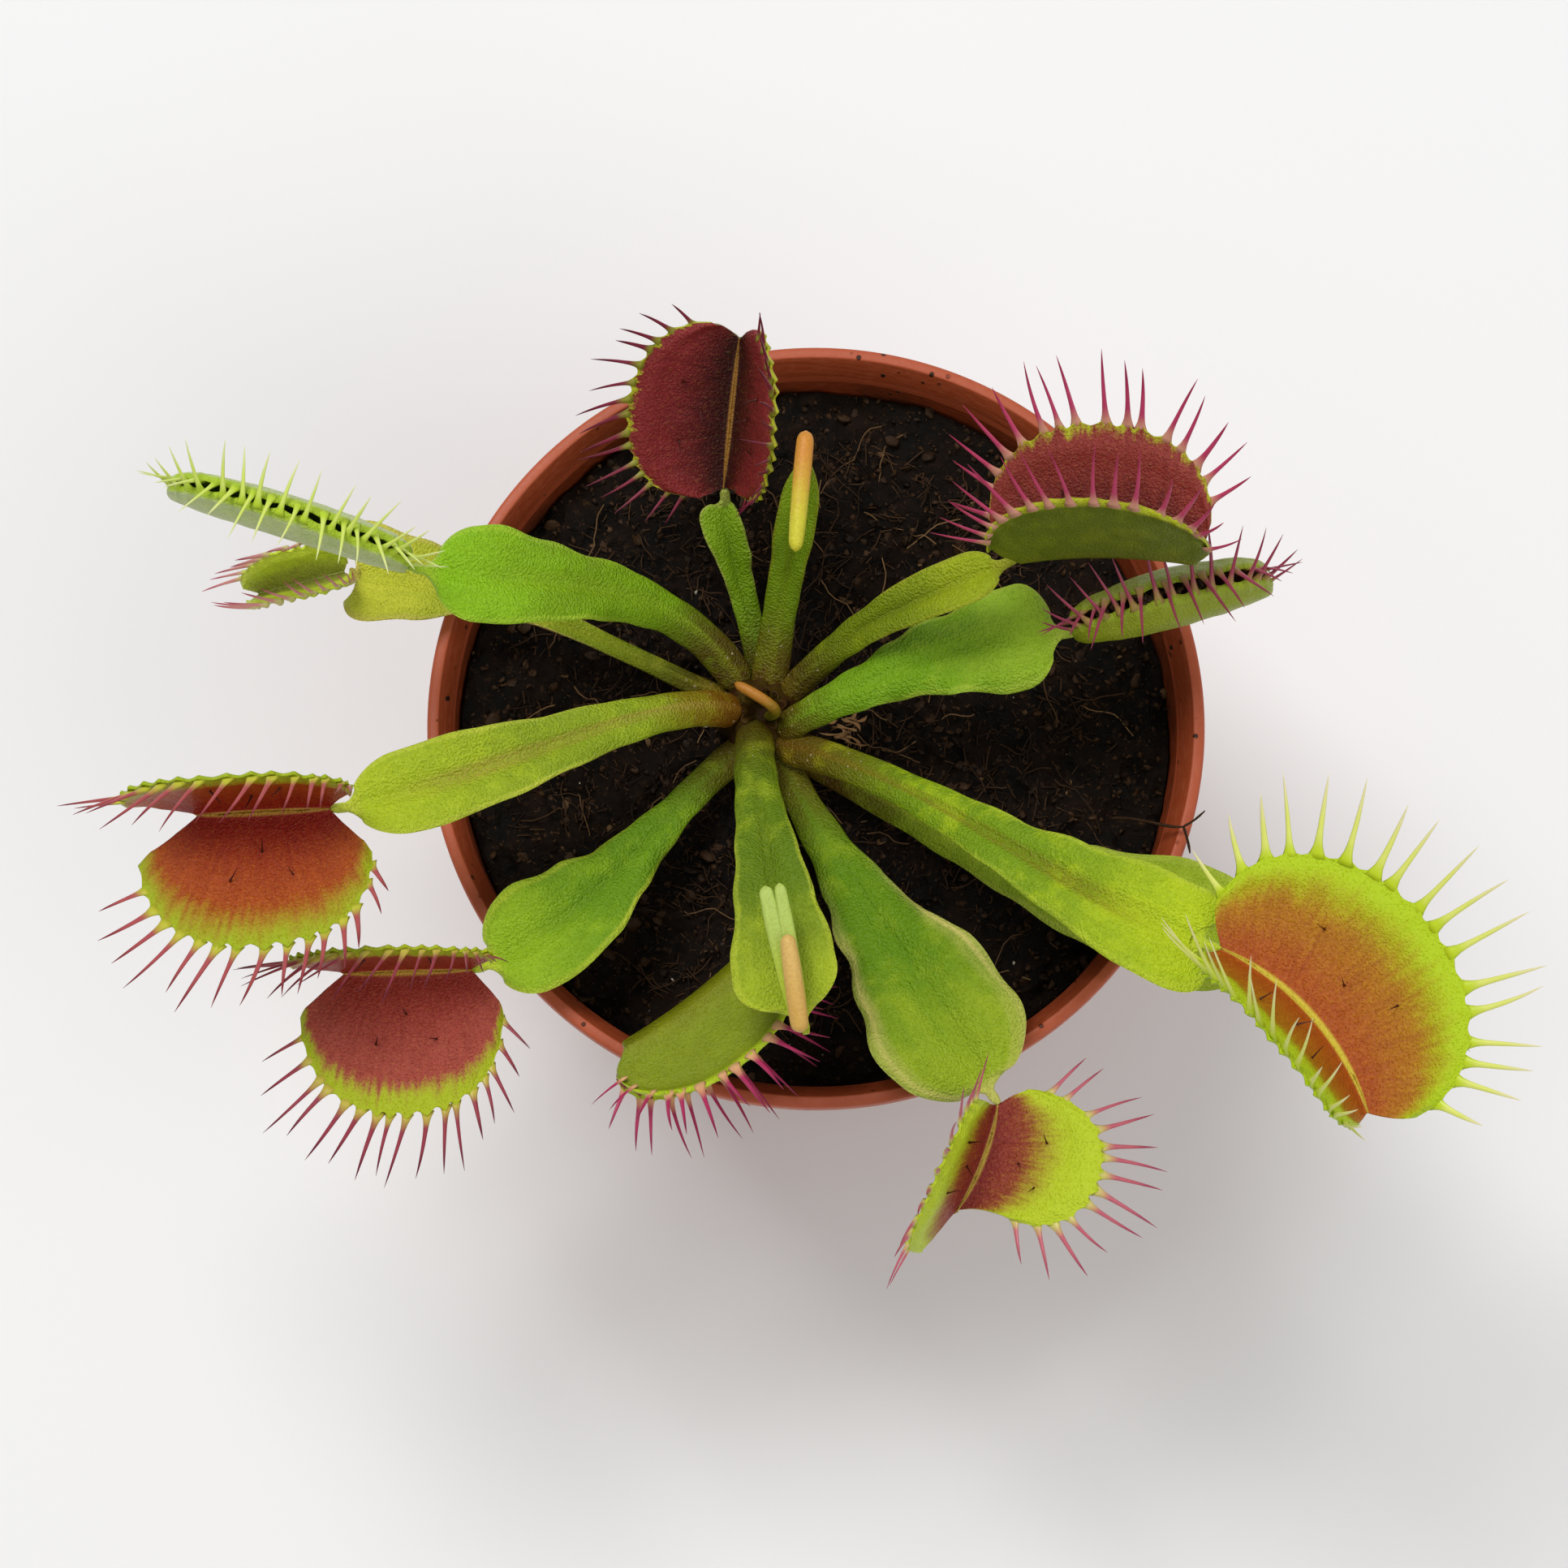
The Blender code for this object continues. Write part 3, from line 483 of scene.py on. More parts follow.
def makeSoilMaterial():
    material, tree, shader = startMaterial("wetPeat", Specular_IOR_Level=0.16)
    place = objectPlace(tree)
    fine, clumps = cloud(place, 900.0, 6.0, 0.68), cloud(place, 240.0, 4.0, 0.6)
    colour = blendTones(fade(clumps, 0.4, 0.68), soilTones["dark"], soilTones["clump"])
    colour = blendTones(fade(fine, 0.55, 0.78), colour, soilTones["brown"])
    threads = cloud(vectorSums("MULTIPLY", place, (420, 2600, 900)), 1.0, 3.0, 0.6, 1.4)
    colour = blendTones(fade(threads, 0.68, 0.76, 0.0, 0.6), colour, soilTones["thread"])
    roughness = fade(clumps, 0.3, 0.7, 0.55, 0.92)
    connect(shader, Base_Color=colour, Roughness=roughness, Normal=bump(fine * 0.6 + clumps, 0.0012))
    return material


def makeCrumbMaterial(name, dark, light, roughness):
    material, tree, shader = startMaterial(name, Specular_IOR_Level=0.18)
    grain = splitVector(attributeVector(tree, "grain"))[0]
    fine = cloud(objectPlace(tree), 1500.0, 4.0, 0.65)
    mixed = sums("ADD", fine * 0.5, grain * 0.9 + -0.2, clamp=True)
    uneven = fade(fine, 0.2, 0.8, roughness - 0.15, roughness + 0.1)
    colour = blendTones(mixed, tone(*dark), tone(*light))
    connect(shader, Base_Color=colour, Roughness=uneven, Normal=bump(fine, 0.0003))
    return material


def startGeometry(name, inputs):  # a geometry tree with named inputs
    return startTree(name, {"Geometry": "in", **inputs}, {"Geometry": "out"}, "GeometryNodeTree")


def finishGeometry(geometry, material, out):
    tree = geometry.tree
    realized = addNode(tree, "GeometryNodeRealizeInstances", {0: geometry})
    smooth = addNode(tree, "GeometryNodeSetShadeSmooth", {0: realized[0]})
    painted = addNode(tree, "GeometryNodeSetMaterial", {0: smooth[0], "Material": material})
    tree.links.new(painted[0].socket, out[0])


def randomNumber(low, high, seed):
    inputs = {2: low, 3: high, "Seed": seed}
    return addNode(seed.tree, "FunctionNodeRandomValue", inputs, data_type="FLOAT")[1]


def randomVector(low, high, seed):
    inputs = {0: low, 1: high, "Seed": seed}
    return addNode(seed.tree, "FunctionNodeRandomValue", inputs, data_type="FLOAT_VECTOR")[0]


def strew(given, shape, turned, scale):  # copies of a shape over a surface, each marked with its own grain
    tree, seed = given.tree, given["Seed"]
    spots = addNode(tree, "GeometryNodeDistributePointsOnFaces", {
        "Mesh": given["Geometry"], "Density": given["Density"], "Seed": seed,
    })
    placed = addNode(tree, "GeometryNodeInstanceOnPoints", {
        "Points": spots["Points"], "Instance": shape, "Scale": scale,
        "Rotation": addNode(tree, "FunctionNodeEulerToRotation", {0: turned})[0],
    })
    marked = addNode(tree, "GeometryNodeStoreNamedAttribute", {
        "Geometry": placed[0], "Name": "grain", "Value": randomVector((0, 0, 0), (1, 1, 1), seed),
    }, data_type="FLOAT_VECTOR", domain="INSTANCE")
    return addNode(tree, "GeometryNodeRealizeInstances", {0: marked[0]})[0]


def shove(geometry, scale, detail, middle, stretch, reach):  # moves points about by a cloud of noise
    tree = geometry.tree
    spot = addNode(tree, "GeometryNodeInputPosition")[0]
    push = addNode(tree, "ShaderNodeTexNoise", {"Vector": spot, "Scale": scale, "Detail": detail})["Color"]
    push = vectorSums("MULTIPLY", vectorSums("SUBTRACT", push, middle), stretch)
    inputs = {"Geometry": geometry, "Offset": vectorSums("SCALE", push, reach)}
    return addNode(tree, "GeometryNodeSetPosition", inputs)[0]


def makeCrumbTree():  # lumps strewn over a surface, each turned and squashed its own way
    tree, given, out = startGeometry("crumbs", {
        "Density": 100000.0, "Smallest": 0.0002, "Largest": 0.001, "Flatness": 0.6,
        "Roundness": 1, "Seed": 1, "Material": None,
    })
    seed = given["Seed"]
    lump = addNode(tree, "GeometryNodeMeshIcoSphere", {"Radius": 1.0, "Subdivisions": given["Roundness"]})
    share = sums("POWER", randomNumber(0.0, 1.0, seed), 2.6)
    size = addNode(tree, "ShaderNodeMapRange", {0: share, 3: given["Smallest"], 4: given["Largest"]})[0]
    squash = randomVector((0.6, 0.6, 0.5), (1.3, 1.3, 1.0), seed)
    squash = vectorSums("MULTIPLY", squash, joinVector(1.0, 1.0, given["Flatness"]))
    turned = randomVector((-0.9, -0.9, 0.0), (0.9, 0.9, 6.283), seed)
    loose = strew(given, lump["Mesh"], turned, vectorSums("SCALE", squash, size))
    rough = shove(loose, 1900.0, 2.0, (0.5, 0.5, 0.5), (1.0, 1.0, 1.0), 0.0009)
    finishGeometry(rough, given["Material"], out)
    return tree


def makeFibreTree():  # bent threads of root and moss lying on a surface
    tree, given, out = startGeometry("fibres", {
        "Density": 20000.0, "Shortest": 0.002, "Longest": 0.01, "Thickness": 0.0001,
        "Bend": 0.003, "Lift": 0.3, "Parts": 12, "Seed": 1, "Material": None,
    })
    line = addNode(tree, "GeometryNodeCurvePrimitiveLine", {"Start": (-0.5, 0, 0), "End": (0.5, 0, 0)})
    thread = addNode(tree, "GeometryNodeResampleCurve", {"Curve": line[0], "Count": given["Parts"]})
    lift, seed = given["Lift"], given["Seed"]
    length = randomNumber(given["Shortest"], given["Longest"], seed)
    turned = randomVector(joinVector(y=lift * -1.0), joinVector(y=lift, z=6.283), seed)
    loose = strew(given, thread[0], turned, length)
    bent = shove(loose, 190.0, 1.5, (0.5, 0.5, 0.44), (1.0, 1.0, 0.7), given["Bend"])
    ring = addNode(tree, "GeometryNodeCurvePrimitiveCircle", {"Resolution": 4, "Radius": given["Thickness"]})
    inputs = {"Curve": bent, "Profile Curve": ring[0], "Fill Caps": True}
    tube = addNode(tree, "GeometryNodeCurveToMesh", inputs)
    finishGeometry(tube[0], given["Material"], out)
    return tree


def growPiece(name, source, tree, settings):  # runs a tree on a source and keeps its plain mesh
    modifier = source.modifiers.new(name, "NODES")
    modifier.node_group = tree
    for item in tree.interface.items_tree:
        if item.item_type == "SOCKET" and item.in_out == "INPUT" and item.name in settings:
            modifier[item.identifier] = settings[item.name]
    source.update_tag()
    bpy.context.view_layer.update()
    mesh = bpy.data.meshes.new_from_object(source.evaluated_get(bpy.context.evaluated_depsgraph_get()))
    mesh.name = name
    source.modifiers.remove(modifier)
    settle(name, mesh)


def makeSoil():  # the plug of peat, and bare copies of its top to strew things on
    p, s = potSizes, soilSizes
    step = p["height"] - p["collarHeight"]
    outer = p["rimRadius"] - p["lip"] - p["collarStep"]
    wallRadius = outer + p["collarStep"] - p["wall"] - 0.02
    centre = np.array((crownPlace["x"], crownPlace["y"]))
    holeRadius = crownPlace["radius"] - 1.2
    rows = []
    for ring in range(s["rings"] + 1):
        t = ring / s["rings"]
        row = []
        for number in range(s["segments"]):
            angle = 2 * math.pi * number / s["segments"]
            around = np.array((math.cos(angle), math.sin(angle)))
            x, y = (centre + around * holeRadius) * (1 - t) + around * wallRadius * t
            row.append((x, y, soilHeight(x, y)))
        rows.append(row)
    hole = [(x, y, crownPlace["level"] - crownPlace["depth"]) for x, y, _ in rows[0]]
    below = []
    for radius, height in (
        (wallRadius, step + 0.3), (outer - p["wall"] - 0.05, step),
        (p["baseRadius"] - p["wall"] - 0.3, p["floor"] + 0.05),
    ):
        below.append([(x * radius / wallRadius, y * radius / wallRadius, height) for x, y, _ in rows[-1]])
    points = np.concatenate([hole, *rows, *below])
    count = len(rows) + 4
    bottom, top = lidFaces(count, s["segments"])
    faces = loftFaces(count, s["segments"]) + [tuple(reversed(bottom)), tuple(reversed(top))]
    makePiece("peatPlug", points, faces, makeSoilMaterial(), "soil", ["soil"])
    surfaces = []
    for name, rings in (("peatTop", len(rows)), ("peatMiddle", round(s["rings"] * s["fibreReach"]))):
        source = makeSource(name, np.concatenate(rows[:rings]), loftFaces(rings, s["segments"]))
        if source.data.polygons[0].normal.z < 0:
            source.data.flip_normals()
        surfaces.append(source)
    return surfaces


soilTop, soilMiddle = makeSoil()
crumbTree, fibreTree = makeCrumbTree(), makeFibreTree()
crumbDark = makeCrumbMaterial("peatCrumb", (12, 7, 3), (66, 44, 25), 0.5)
crumbTan = makeCrumbMaterial("barkChip", (54, 36, 22), (120, 90, 58), 0.7)
crumbPale = makeCrumbMaterial("paleGrain", (150, 140, 120), (214, 206, 186), 0.8)
fibreDark = makeCrumbMaterial("rootThread", (14, 9, 5), (78, 54, 33), 0.5)
fibreTan = makeCrumbMaterial("dryThread", (70, 48, 28), (138, 106, 70), 0.6)
crumbLabels = ("Density", "Smallest", "Largest", "Flatness", "Roundness", "Seed", "Material")
fibreLabels = ("Density", "Shortest", "Longest", "Thickness", "Bend", "Lift", "Parts", "Seed", "Material")
crumbs = {  # in the order of crumbLabels
    "peatFine": (760000.0, 0.00014, 0.0005, 0.6, 1, 3, crumbDark),
    "peatClods": (80000.0, 0.0004, 0.0009, 0.5, 2, 11, crumbDark),
    "barkChips": (26000.0, 0.0002, 0.0009, 0.3, 1, 23, crumbTan),
    "paleGrains": (4500.0, 0.00012, 0.0004, 0.8, 1, 31, crumbPale),
}
fibres = {  # in the order of fibreLabels
    "peatFibres": (440000.0, 0.0006, 0.0026, 0.00008, 0.003, 0.6, 7, 37, fibreDark),
    "rootThreads": (90000.0, 0.002, 0.007, 0.00008, 0.004, 0.35, 12, 41, fibreDark),
    "rootStrands": (16000.0, 0.003, 0.011, 0.00008, 0.006, 0.2, 12, 47, fibreTan),
}
for source, tree, labels, kinds in (
    (soilTop, crumbTree, crumbLabels, crumbs), (soilMiddle, fibreTree, fibreLabels, fibres),
):
    for name, values in kinds.items():
        growPiece(name, source, tree, dict(zip(labels, values)))
    bpy.data.objects.remove(source)
print("soil made")

bladeSizes = {
    "wing": 0.5,  # thickness near the edges
    "rib": (1.8, 1.2),  # thickness along the middle, at the crown and at the trap
    "neckDiameter": 1.1,
    "neckLength": 2.4,
    "neckLift": 1.2,  # from the blade's end up to the neck's
    "shoulderStart": 0.91,  # where along the stalk its end begins to round off
    "shoulderRound": 0.105,
    "rootRound": 0.035,
    "dome": 0.24,  # how far the inner part of a stalk bulges, as a share of the width
    "wingStart": 0.7,  # where along the stalk shoulder and skew begin
    "across": 27,
    "arch": 0.045,  # how far each wing bulges, as a share of the width
    "groove": 0.34,  # depth of the furrow along the middle
    "relief": 0.0003,
}
lobeSizes = {
    "midrib": 1.1,  # thickness there
    "lobe": 0.62,  # thickness elsewhere
    "fan": 83,  # degrees of the margin's half ellipse, each way
    "fullness": 0.6,
    "spread": 1.6,
    "hinge": 0.25,  # how much further apart the margins are
    "frames": 24,  # steps along the midrib
    "columns": 176,
    "scallop": 0.05,  # how far the margin reaches out at each tooth, as a share of the height
    "flare": 0.5,
    "rib": 0.32,  # how far the midrib stands up inside
    "splay": 0.7,  # how far the teeth at the ends spread away from the middle
    "shift": 0.25,  # of a pitch, so that the teeth of both lobes pass between each other
    "start": 0.85,  # between a stalk's neck and the midrib
    "toothRoot": 0.72,  # share of the pitch that a tooth's root takes
    "toothDepth": 0.62,  # thickness of a tooth's root
    "relief": 0.00026,
}
lobeShares = np.concatenate([  # how far up a lobe its rows of points lie
    (0.015, 0.035, 0.06), np.linspace(0.1, 0.86, 12), (0.89, 0.915, 0.94, 0.96, 0.975, 0.99, 1.0),
])
triggerHairs = ((0.36, 0.50), (0.63, 0.52), (0.50, 0.30))  # along and up each lobe
stalkLabels = ("Start", "Blade", "Outer", "Edge", "Rib")
# the first trap tone, by the midrib, is partly the lobe's own colour and partly painted shade in the crease
trapLabels = ("ThroatAndShade", "Disc", "Margin", "Midrib", "Outside")

# base: where it leaves the crown (azimuth, polar angle). root: where it begins inside, from the
# crown's axis. neck: where the stalk ends. end: its direction there. reach: how strongly it keeps
# its first and last directions. widths: at even steps. fold: how far the wings fold up. shoulder:
# how far they run forward beside the neck. wave: how much their edges ripple. skew: how much wider
# the left wing grows. ribStrength: of the rib's tone. edgeWidth: where the edge's tone begins.
# tones: in the order of stalkLabels and trapLabels above.
# A trap has its midrib's heading, rise, length, turn and lift; for each lobe its rise at the
# midrib and at the margin, half length, height and sweep; how many teeth, their length and their
# lean inwards. leans, combs (how far the teeth point forward), fullness (of the outline: less is
# blunter) and spread (how soon it widens) are for the left and the right lobe. flare: how far the
# margin curls out. hairs: whether it has trigger hairs. border: where up the lobe the margin's
# tone begins, and how softly. toothTones: at the root, the middle and the tip.
# A young trap is a rod (its ends and half width), and may have strips along it (the same, and
# their half depth).
leaves = {
    "back": {
        "base": (100, 82), "root": (0.6, 2.4), "neck": (-10.6, 23.6, 72), "end": (96, 28),
        "reach": (0.45, 0.3), "widths": (2.4, 2.6, 2.8, 3.1, 3.6, 4.4, 5.0, 4.6), "fold": 25,
        "shoulder": 0.5, "wave": 0.2, "skew": 1.3, "neckLength": 1.2,
        "tones": ((92, 84, 14), (126, 162, 14), (136, 172, 24), (196, 190, 100), (110, 140, 24)),
        "trap": {
            "heading": 84, "rise": 38, "length": 18, "turn": 0, "lift": 8,
            "left": (12, 26, 10.8, 11.4, 0.4), "right": (56, 78, 10.2, 11.4, 1.8),
            "teeth": 15, "tooth": 6.6, "lean": 10, "leans": (10, 32), "combs": (0, 0.6),
            "border": (1.0, 0.05),
            "tones": ((58, 8, 10), (138, 36, 40), (176, 178, 30), (196, 140, 60), (104, 118, 20)),
            "toothTones": ((140, 140, 44), (124, 36, 58), (88, 18, 44)),
        },
    },
    "back_low": {
        "base": (160, 84), "root": (-2.6, 1.6), "neck": (-51.0, 14.3, 70), "end": (180, 4),
        "reach": (0.22, 0.4), "widths": (2.0, 2.0, 2.1, 2.3, 2.6, 3.8, 9.6, 13.0), "fold": 12,
        "shoulder": 0.5, "wave": 0.5, "neckLength": 0.8,
        "tones": ((112, 108, 14), (150, 166, 26), (212, 214, 62), (224, 196, 118), (176, 182, 50)),
        "trap": {
            "heading": 198, "rise": 6, "length": 9.5, "turn": 0, "lift": 0,
            "left": (52, 92, 6.0, 6.4, 0.6), "right": (56, 94, 6.0, 6.4, 0.6),
            "teeth": 12, "tooth": 5.2, "lean": 8, "combs": (0.7, 0.7), "hairs": False, "border": (0.6, 0.3),
            "tones": ((190, 196, 90), (196, 210, 72), (206, 224, 64), (206, 212, 116), (200, 214, 132)),
            "toothTones": ((206, 200, 130), (208, 140, 140), (176, 70, 104)),
        },
    },
    "back_left": {
        "base": (124, 60), "root": (-1.9, 2.7), "neck": (-42.7, 10.7, 88), "end": (178, 12),
        "reach": (0.36, 0.34), "widths": (3.0, 3.4, 4.2, 5.6, 7.2, 9.0, 10.8, 10.4), "fold": 8,
        "shoulder": 0.0, "wave": 0.35,
        "tones": ((96, 88, 12), (128, 166, 14), (146, 196, 20), (184, 210, 60), (150, 180, 36)),
        "trap": {
            "heading": 164, "rise": 6, "length": 26, "turn": 2, "lift": 0,
            "left": (52, 126, 13.4, 9.0, 0), "right": (52, 126, 13.4, 9.0, 0),
            "teeth": 16, "tooth": 6.8, "lean": 22, "flare": -0.15, "hairs": False, "border": (0.5, 0.2),
            "tones": ((96, 128, 16), (120, 146, 24), (172, 200, 44), (150, 170, 60), (192, 206, 142)),
            "toothTones": ((176, 202, 46), (204, 220, 104), (220, 226, 156)),
        },
    },
    "left": {
        "base": (176, 27), "root": (-1.9, -0.2), "neck": (-50.0, -15.0, 86), "end": (196, 8),
        "reach": (0.3, 0.36), "widths": (3.0, 3.4, 4.2, 5.2, 6.8, 8.6, 9.8, 8.8), "fold": 16,
        "shoulder": 0.1, "wave": 0.35, "ribStrength": 0.75,
        "tones": ((146, 116, 14), (146, 168, 28), (182, 200, 36), (208, 212, 76), (170, 150, 62)),
        "trap": {
            "heading": 184, "rise": 4, "length": 13.6, "turn": 2, "lift": -4,
            "left": (12, 22, 12.4, 15.6, 1.0), "right": (72, 104, 12.0, 12.6, 2.6),
            "teeth": 15, "tooth": 8.2, "lean": 5, "leans": (5, 36), "combs": (0.4, 0.6),
            "fullness": (0.55, 0.4), "spread": (1.0, 1.4), "border": (0.96, 0.3),
            "tones": ((150, 26, 12), (178, 78, 18), (160, 180, 16), (206, 164, 60), (150, 150, 36)),
            "toothTones": ((186, 186, 56), (168, 78, 82), (118, 36, 52)),
        },
    },
    "front_left": {
        "base": (226, 66), "root": (-1.2, -3.0), "neck": (-35.4, -29.2, 71.5), "end": (208, 6),
        "reach": (0.34, 0.36), "widths": (2.8, 3.0, 3.6, 5.0, 7.4, 10.6, 12.4, 10.6), "fold": 14,
        "shoulder": 0.25, "wave": 0.45,
        "tones": ((107, 113, 10), (112, 154, 18), (156, 190, 30), (212, 218, 66), (108, 146, 24)),
        "trap": {
            "heading": 183, "rise": 6, "length": 13.4, "turn": 2, "lift": -6,
            "left": (4, 16, 11.0, 16.0, 0.8), "right": (80, 102, 10.8, 10.0, 1.8),
            "teeth": 17, "tooth": 8.6, "lean": 5, "leans": (5, 34), "combs": (0.3, 0.5),
            "fullness": (0.6, 0.4), "spread": (1.3, 1.5), "border": (0.9, 0.14),
            "tones": ((158, 48, 34), (172, 74, 60), (170, 184, 20), (214, 176, 60), (156, 156, 46)),
            "toothTones": ((190, 176, 72), (146, 56, 72), (92, 22, 46)),
        },
    },
    "front_low": {
        "base": (264, 84), "root": (-0.6, -3.4), "neck": (-4.6, -24.6, 69.5), "end": (255, 5),
        "reach": (0.4, 0.34), "widths": (2.2, 2.2, 2.4, 3.0, 3.8, 4.8, 5.2, 4.4), "fold": 15,
        "shoulder": 0.2, "wave": 0.2,
        "tones": ((92, 90, 12), (110, 136, 18), (120, 144, 24), (150, 164, 50), (116, 136, 30)),
        "trap": {
            "heading": 228, "rise": 2, "length": 19, "turn": -16, "lift": 0,
            "left": (-14, -4, 10.8, 7.8, 1.2), "right": (158, 138, 10.8, 11.6, 1.2),
            "teeth": 15, "tooth": 7.8, "lean": 2, "border": (0.95, 0.06),
            "tones": ((136, 56, 48), (142, 52, 52), (176, 198, 30), (176, 150, 40), (130, 144, 18)),
            "toothTones": ((220, 170, 120), (172, 44, 92), (126, 24, 70)),
        },
    },
    "front": {
        "base": (262, 30), "root": (-0.5, -1.1), "neck": (-0.3, -36.6, 84), "end": (285, 6),
        "reach": (0.3, 0.34), "widths": (3.2, 3.6, 4.6, 5.6, 7.0, 9.0, 11.4, 11.8), "fold": 14,
        "shoulder": 0.0, "wave": 0.3, "skew": -1.2,
        "tones": ((96, 104, 8), (104, 132, 10), (172, 190, 36), (204, 212, 62), (106, 124, 12)),
        "young": {
            "rod": ((-0.7, -37.6, 86.2), (-2.4, -27.6, 88.4), 0.96),
            "rodTones": ((206, 164, 84), (214, 176, 100)),
            "strips": (
                ((-0.9, -36.8, 85.4), (-4.9, -22.4, 87.6), 0.98, 0.5),
                ((-0.4, -36.6, 85.3), (-3.4, -22.1, 87.9), 0.8, 0.5),
            ),
            "stripTones": ((176, 196, 52), (172, 194, 92)),
        },
    },
    "front_right": {
        "base": (295, 72), "root": (1.5, -3.4), "neck": (20.1, -42.0, 73), "end": (303, 4),
        "reach": (0.34, 0.36), "widths": (2.8, 3.2, 4.6, 7.0, 10.4, 14.4, 17.0, 13.4), "fold": 10,
        "shoulder": 0.15, "wave": 0.75, "edgeWidth": 0.8,
        "tones": ((112, 120, 12), (108, 148, 12), (160, 182, 32), (222, 208, 120), (104, 148, 20)),
        "trap": {
            "heading": -99, "rise": 4, "length": 12, "turn": -22, "lift": -14,
            "left": (8, 26, 6.2, 12.6, -2.2), "right": (62, 84, 9.0, 9.4, 3.2),
            "teeth": 13, "tooth": 8.4, "lean": 4, "border": (0.62, 0.32),
            "tones": ((140, 40, 36), (168, 96, 30), (186, 204, 34), (210, 180, 70), (172, 184, 44)),
            "toothTones": ((200, 190, 110), (188, 96, 112), (150, 56, 88)),
        },
    },
    "right_low": {
        "base": (327, 80), "root": (2.4, -2.6), "neck": (48.4, -24.6, 73), "end": (346, 4),
        "reach": (0.34, 0.4), "widths": (2.6, 3.0, 3.8, 5.2, 7.4, 10.6, 13.6, 13.0), "fold": 6,
        "shoulder": 0.4, "wave": 0.3,
        "tones": ((112, 92, 18), (138, 164, 22), (168, 190, 38), (192, 202, 80), (150, 160, 30)),
        "trap": {
            "heading": -38, "rise": -2, "length": 17, "turn": 0, "lift": 0,
            "left": (58, 80, 9.6, 8.4, 2.0), "right": (58, 80, 9.6, 8.4, 2.0),
            "teeth": 14, "tooth": 7.4, "lean": 6, "border": (0.85, 0.15),
            "tones": ((150, 62, 48), (164, 78, 54), (184, 196, 46), (200, 170, 80), (150, 160, 40)),
            "toothTones": ((206, 150, 130), (204, 72, 130), (178, 44, 112)),
        },
    },
    "right": {
        "base": (336, 48), "root": (1.3, -3.2), "neck": (41.6, -28.6, 94), "end": (338, 8),
        "reach": (0.36, 0.3), "widths": (3.0, 3.2, 3.8, 4.8, 6.2, 8.4, 11.2, 12.4), "fold": 6,
        "shoulder": 0.9, "wave": 0.3, "ribStrength": 0.85,
        "tones": ((116, 116, 14), (126, 160, 12), (194, 214, 26), (196, 210, 60), (128, 116, 18)),
        "trap": {
            "heading": -26, "rise": 3, "length": 23, "turn": -46, "lift": -2,
            "left": (12, 26, 14.0, 15.4, -0.4), "right": (54, 76, 13.0, 13.6, 0),
            "teeth": 17, "tooth": 9.0, "lean": 3, "leans": (3, 26), "combs": (0, -0.4),
            "border": (0.84, 0.34),
            "tones": ((176, 82, 16), (184, 128, 12), (178, 204, 14), (214, 200, 60), (174, 196, 40)),
            "toothTones": ((186, 206, 36), (216, 222, 112), (226, 218, 164)),
        },
    },
    "right_mid": {
        "base": (350, 28), "root": (1.5, -1.9), "neck": (27.3, 8.6, 75), "end": (4, -2),
        "reach": (0.24, 0.42), "widths": (2.6, 3.0, 3.8, 5.0, 6.6, 9.0, 11.8, 11.0), "fold": -6,
        "shoulder": 0.1, "wave": 0.6,
        "tones": ((108, 112, 10), (122, 166, 14), (158, 192, 40), (190, 206, 76), (120, 164, 20)),
        "trap": {
            "heading": 15, "rise": 6, "length": 20.5, "turn": 0, "lift": 0,
            "left": (32, 145, 11.2, 10.0, 0), "right": (32, 145, 11.2, 10.0, 0),
            "teeth": 15, "tooth": 7.6, "lean": 8, "flare": 0.12, "hairs": False, "border": (0.7, 0.2),
            "tones": ((100, 50, 30), (110, 80, 30), (150, 166, 36), (150, 140, 50), (146, 158, 24)),
            "toothTones": ((158, 130, 66), (148, 56, 80), (128, 36, 70)),
        },
    },
    "right_back": {
        "base": (46, 54), "root": (1.7, 0.9), "neck": (20.4, 14.1, 85), "end": (22, 12),
        "reach": (0.34, 0.36), "widths": (2.4, 2.7, 3.2, 3.9, 4.6, 5.4, 6.0, 5.6), "fold": 20,
        "shoulder": 0.3, "wave": 0.2,
        "tones": ((92, 84, 8), (130, 148, 14), (164, 178, 22), (164, 160, 44), (116, 130, 18)),
        "trap": {
            "heading": 4, "rise": 22, "length": 19.5, "turn": -16, "lift": -8,
            "left": (20, 36, 11.6, 13.4, -0.8), "right": (94, 112, 12.0, 12.6, 0),
            "teeth": 16, "tooth": 8.4, "lean": 6, "border": (1.02, 0.1),
            "tones": ((70, 12, 18), (146, 52, 44), (176, 182, 28), (140, 80, 60), (98, 110, 8)),
            "toothTones": ((196, 140, 116), (180, 58, 98), (150, 32, 76)),
        },
    },
    "back_upright": {
        "base": (84, 58), "root": (0.5, 0.9), "neck": (-1.8, 25.1, 88), "end": (84, 50),
        "reach": (0.36, 0.36), "widths": (3.0, 3.4, 3.6, 4.0, 4.4, 5.0, 4.8, 3.4), "fold": 28,
        "shoulder": 0.2, "wave": 0.1,
        "tones": ((104, 90, 12), (120, 148, 14), (140, 170, 20), (132, 110, 22), (126, 140, 14)),
        "young": {
            "rod": ((-1.9, 26.6, 88.3), (-2.7, 13.6, 87.2), 0.92),
            "rodTones": ((206, 140, 54), (204, 198, 56)),
        },
    },
}


def direction(azimuth, rise):
    azimuth, rise = math.radians(azimuth), math.radians(rise)
    return Vector((math.cos(rise) * math.cos(azimuth), math.cos(rise) * math.sin(azimuth), math.sin(rise)))


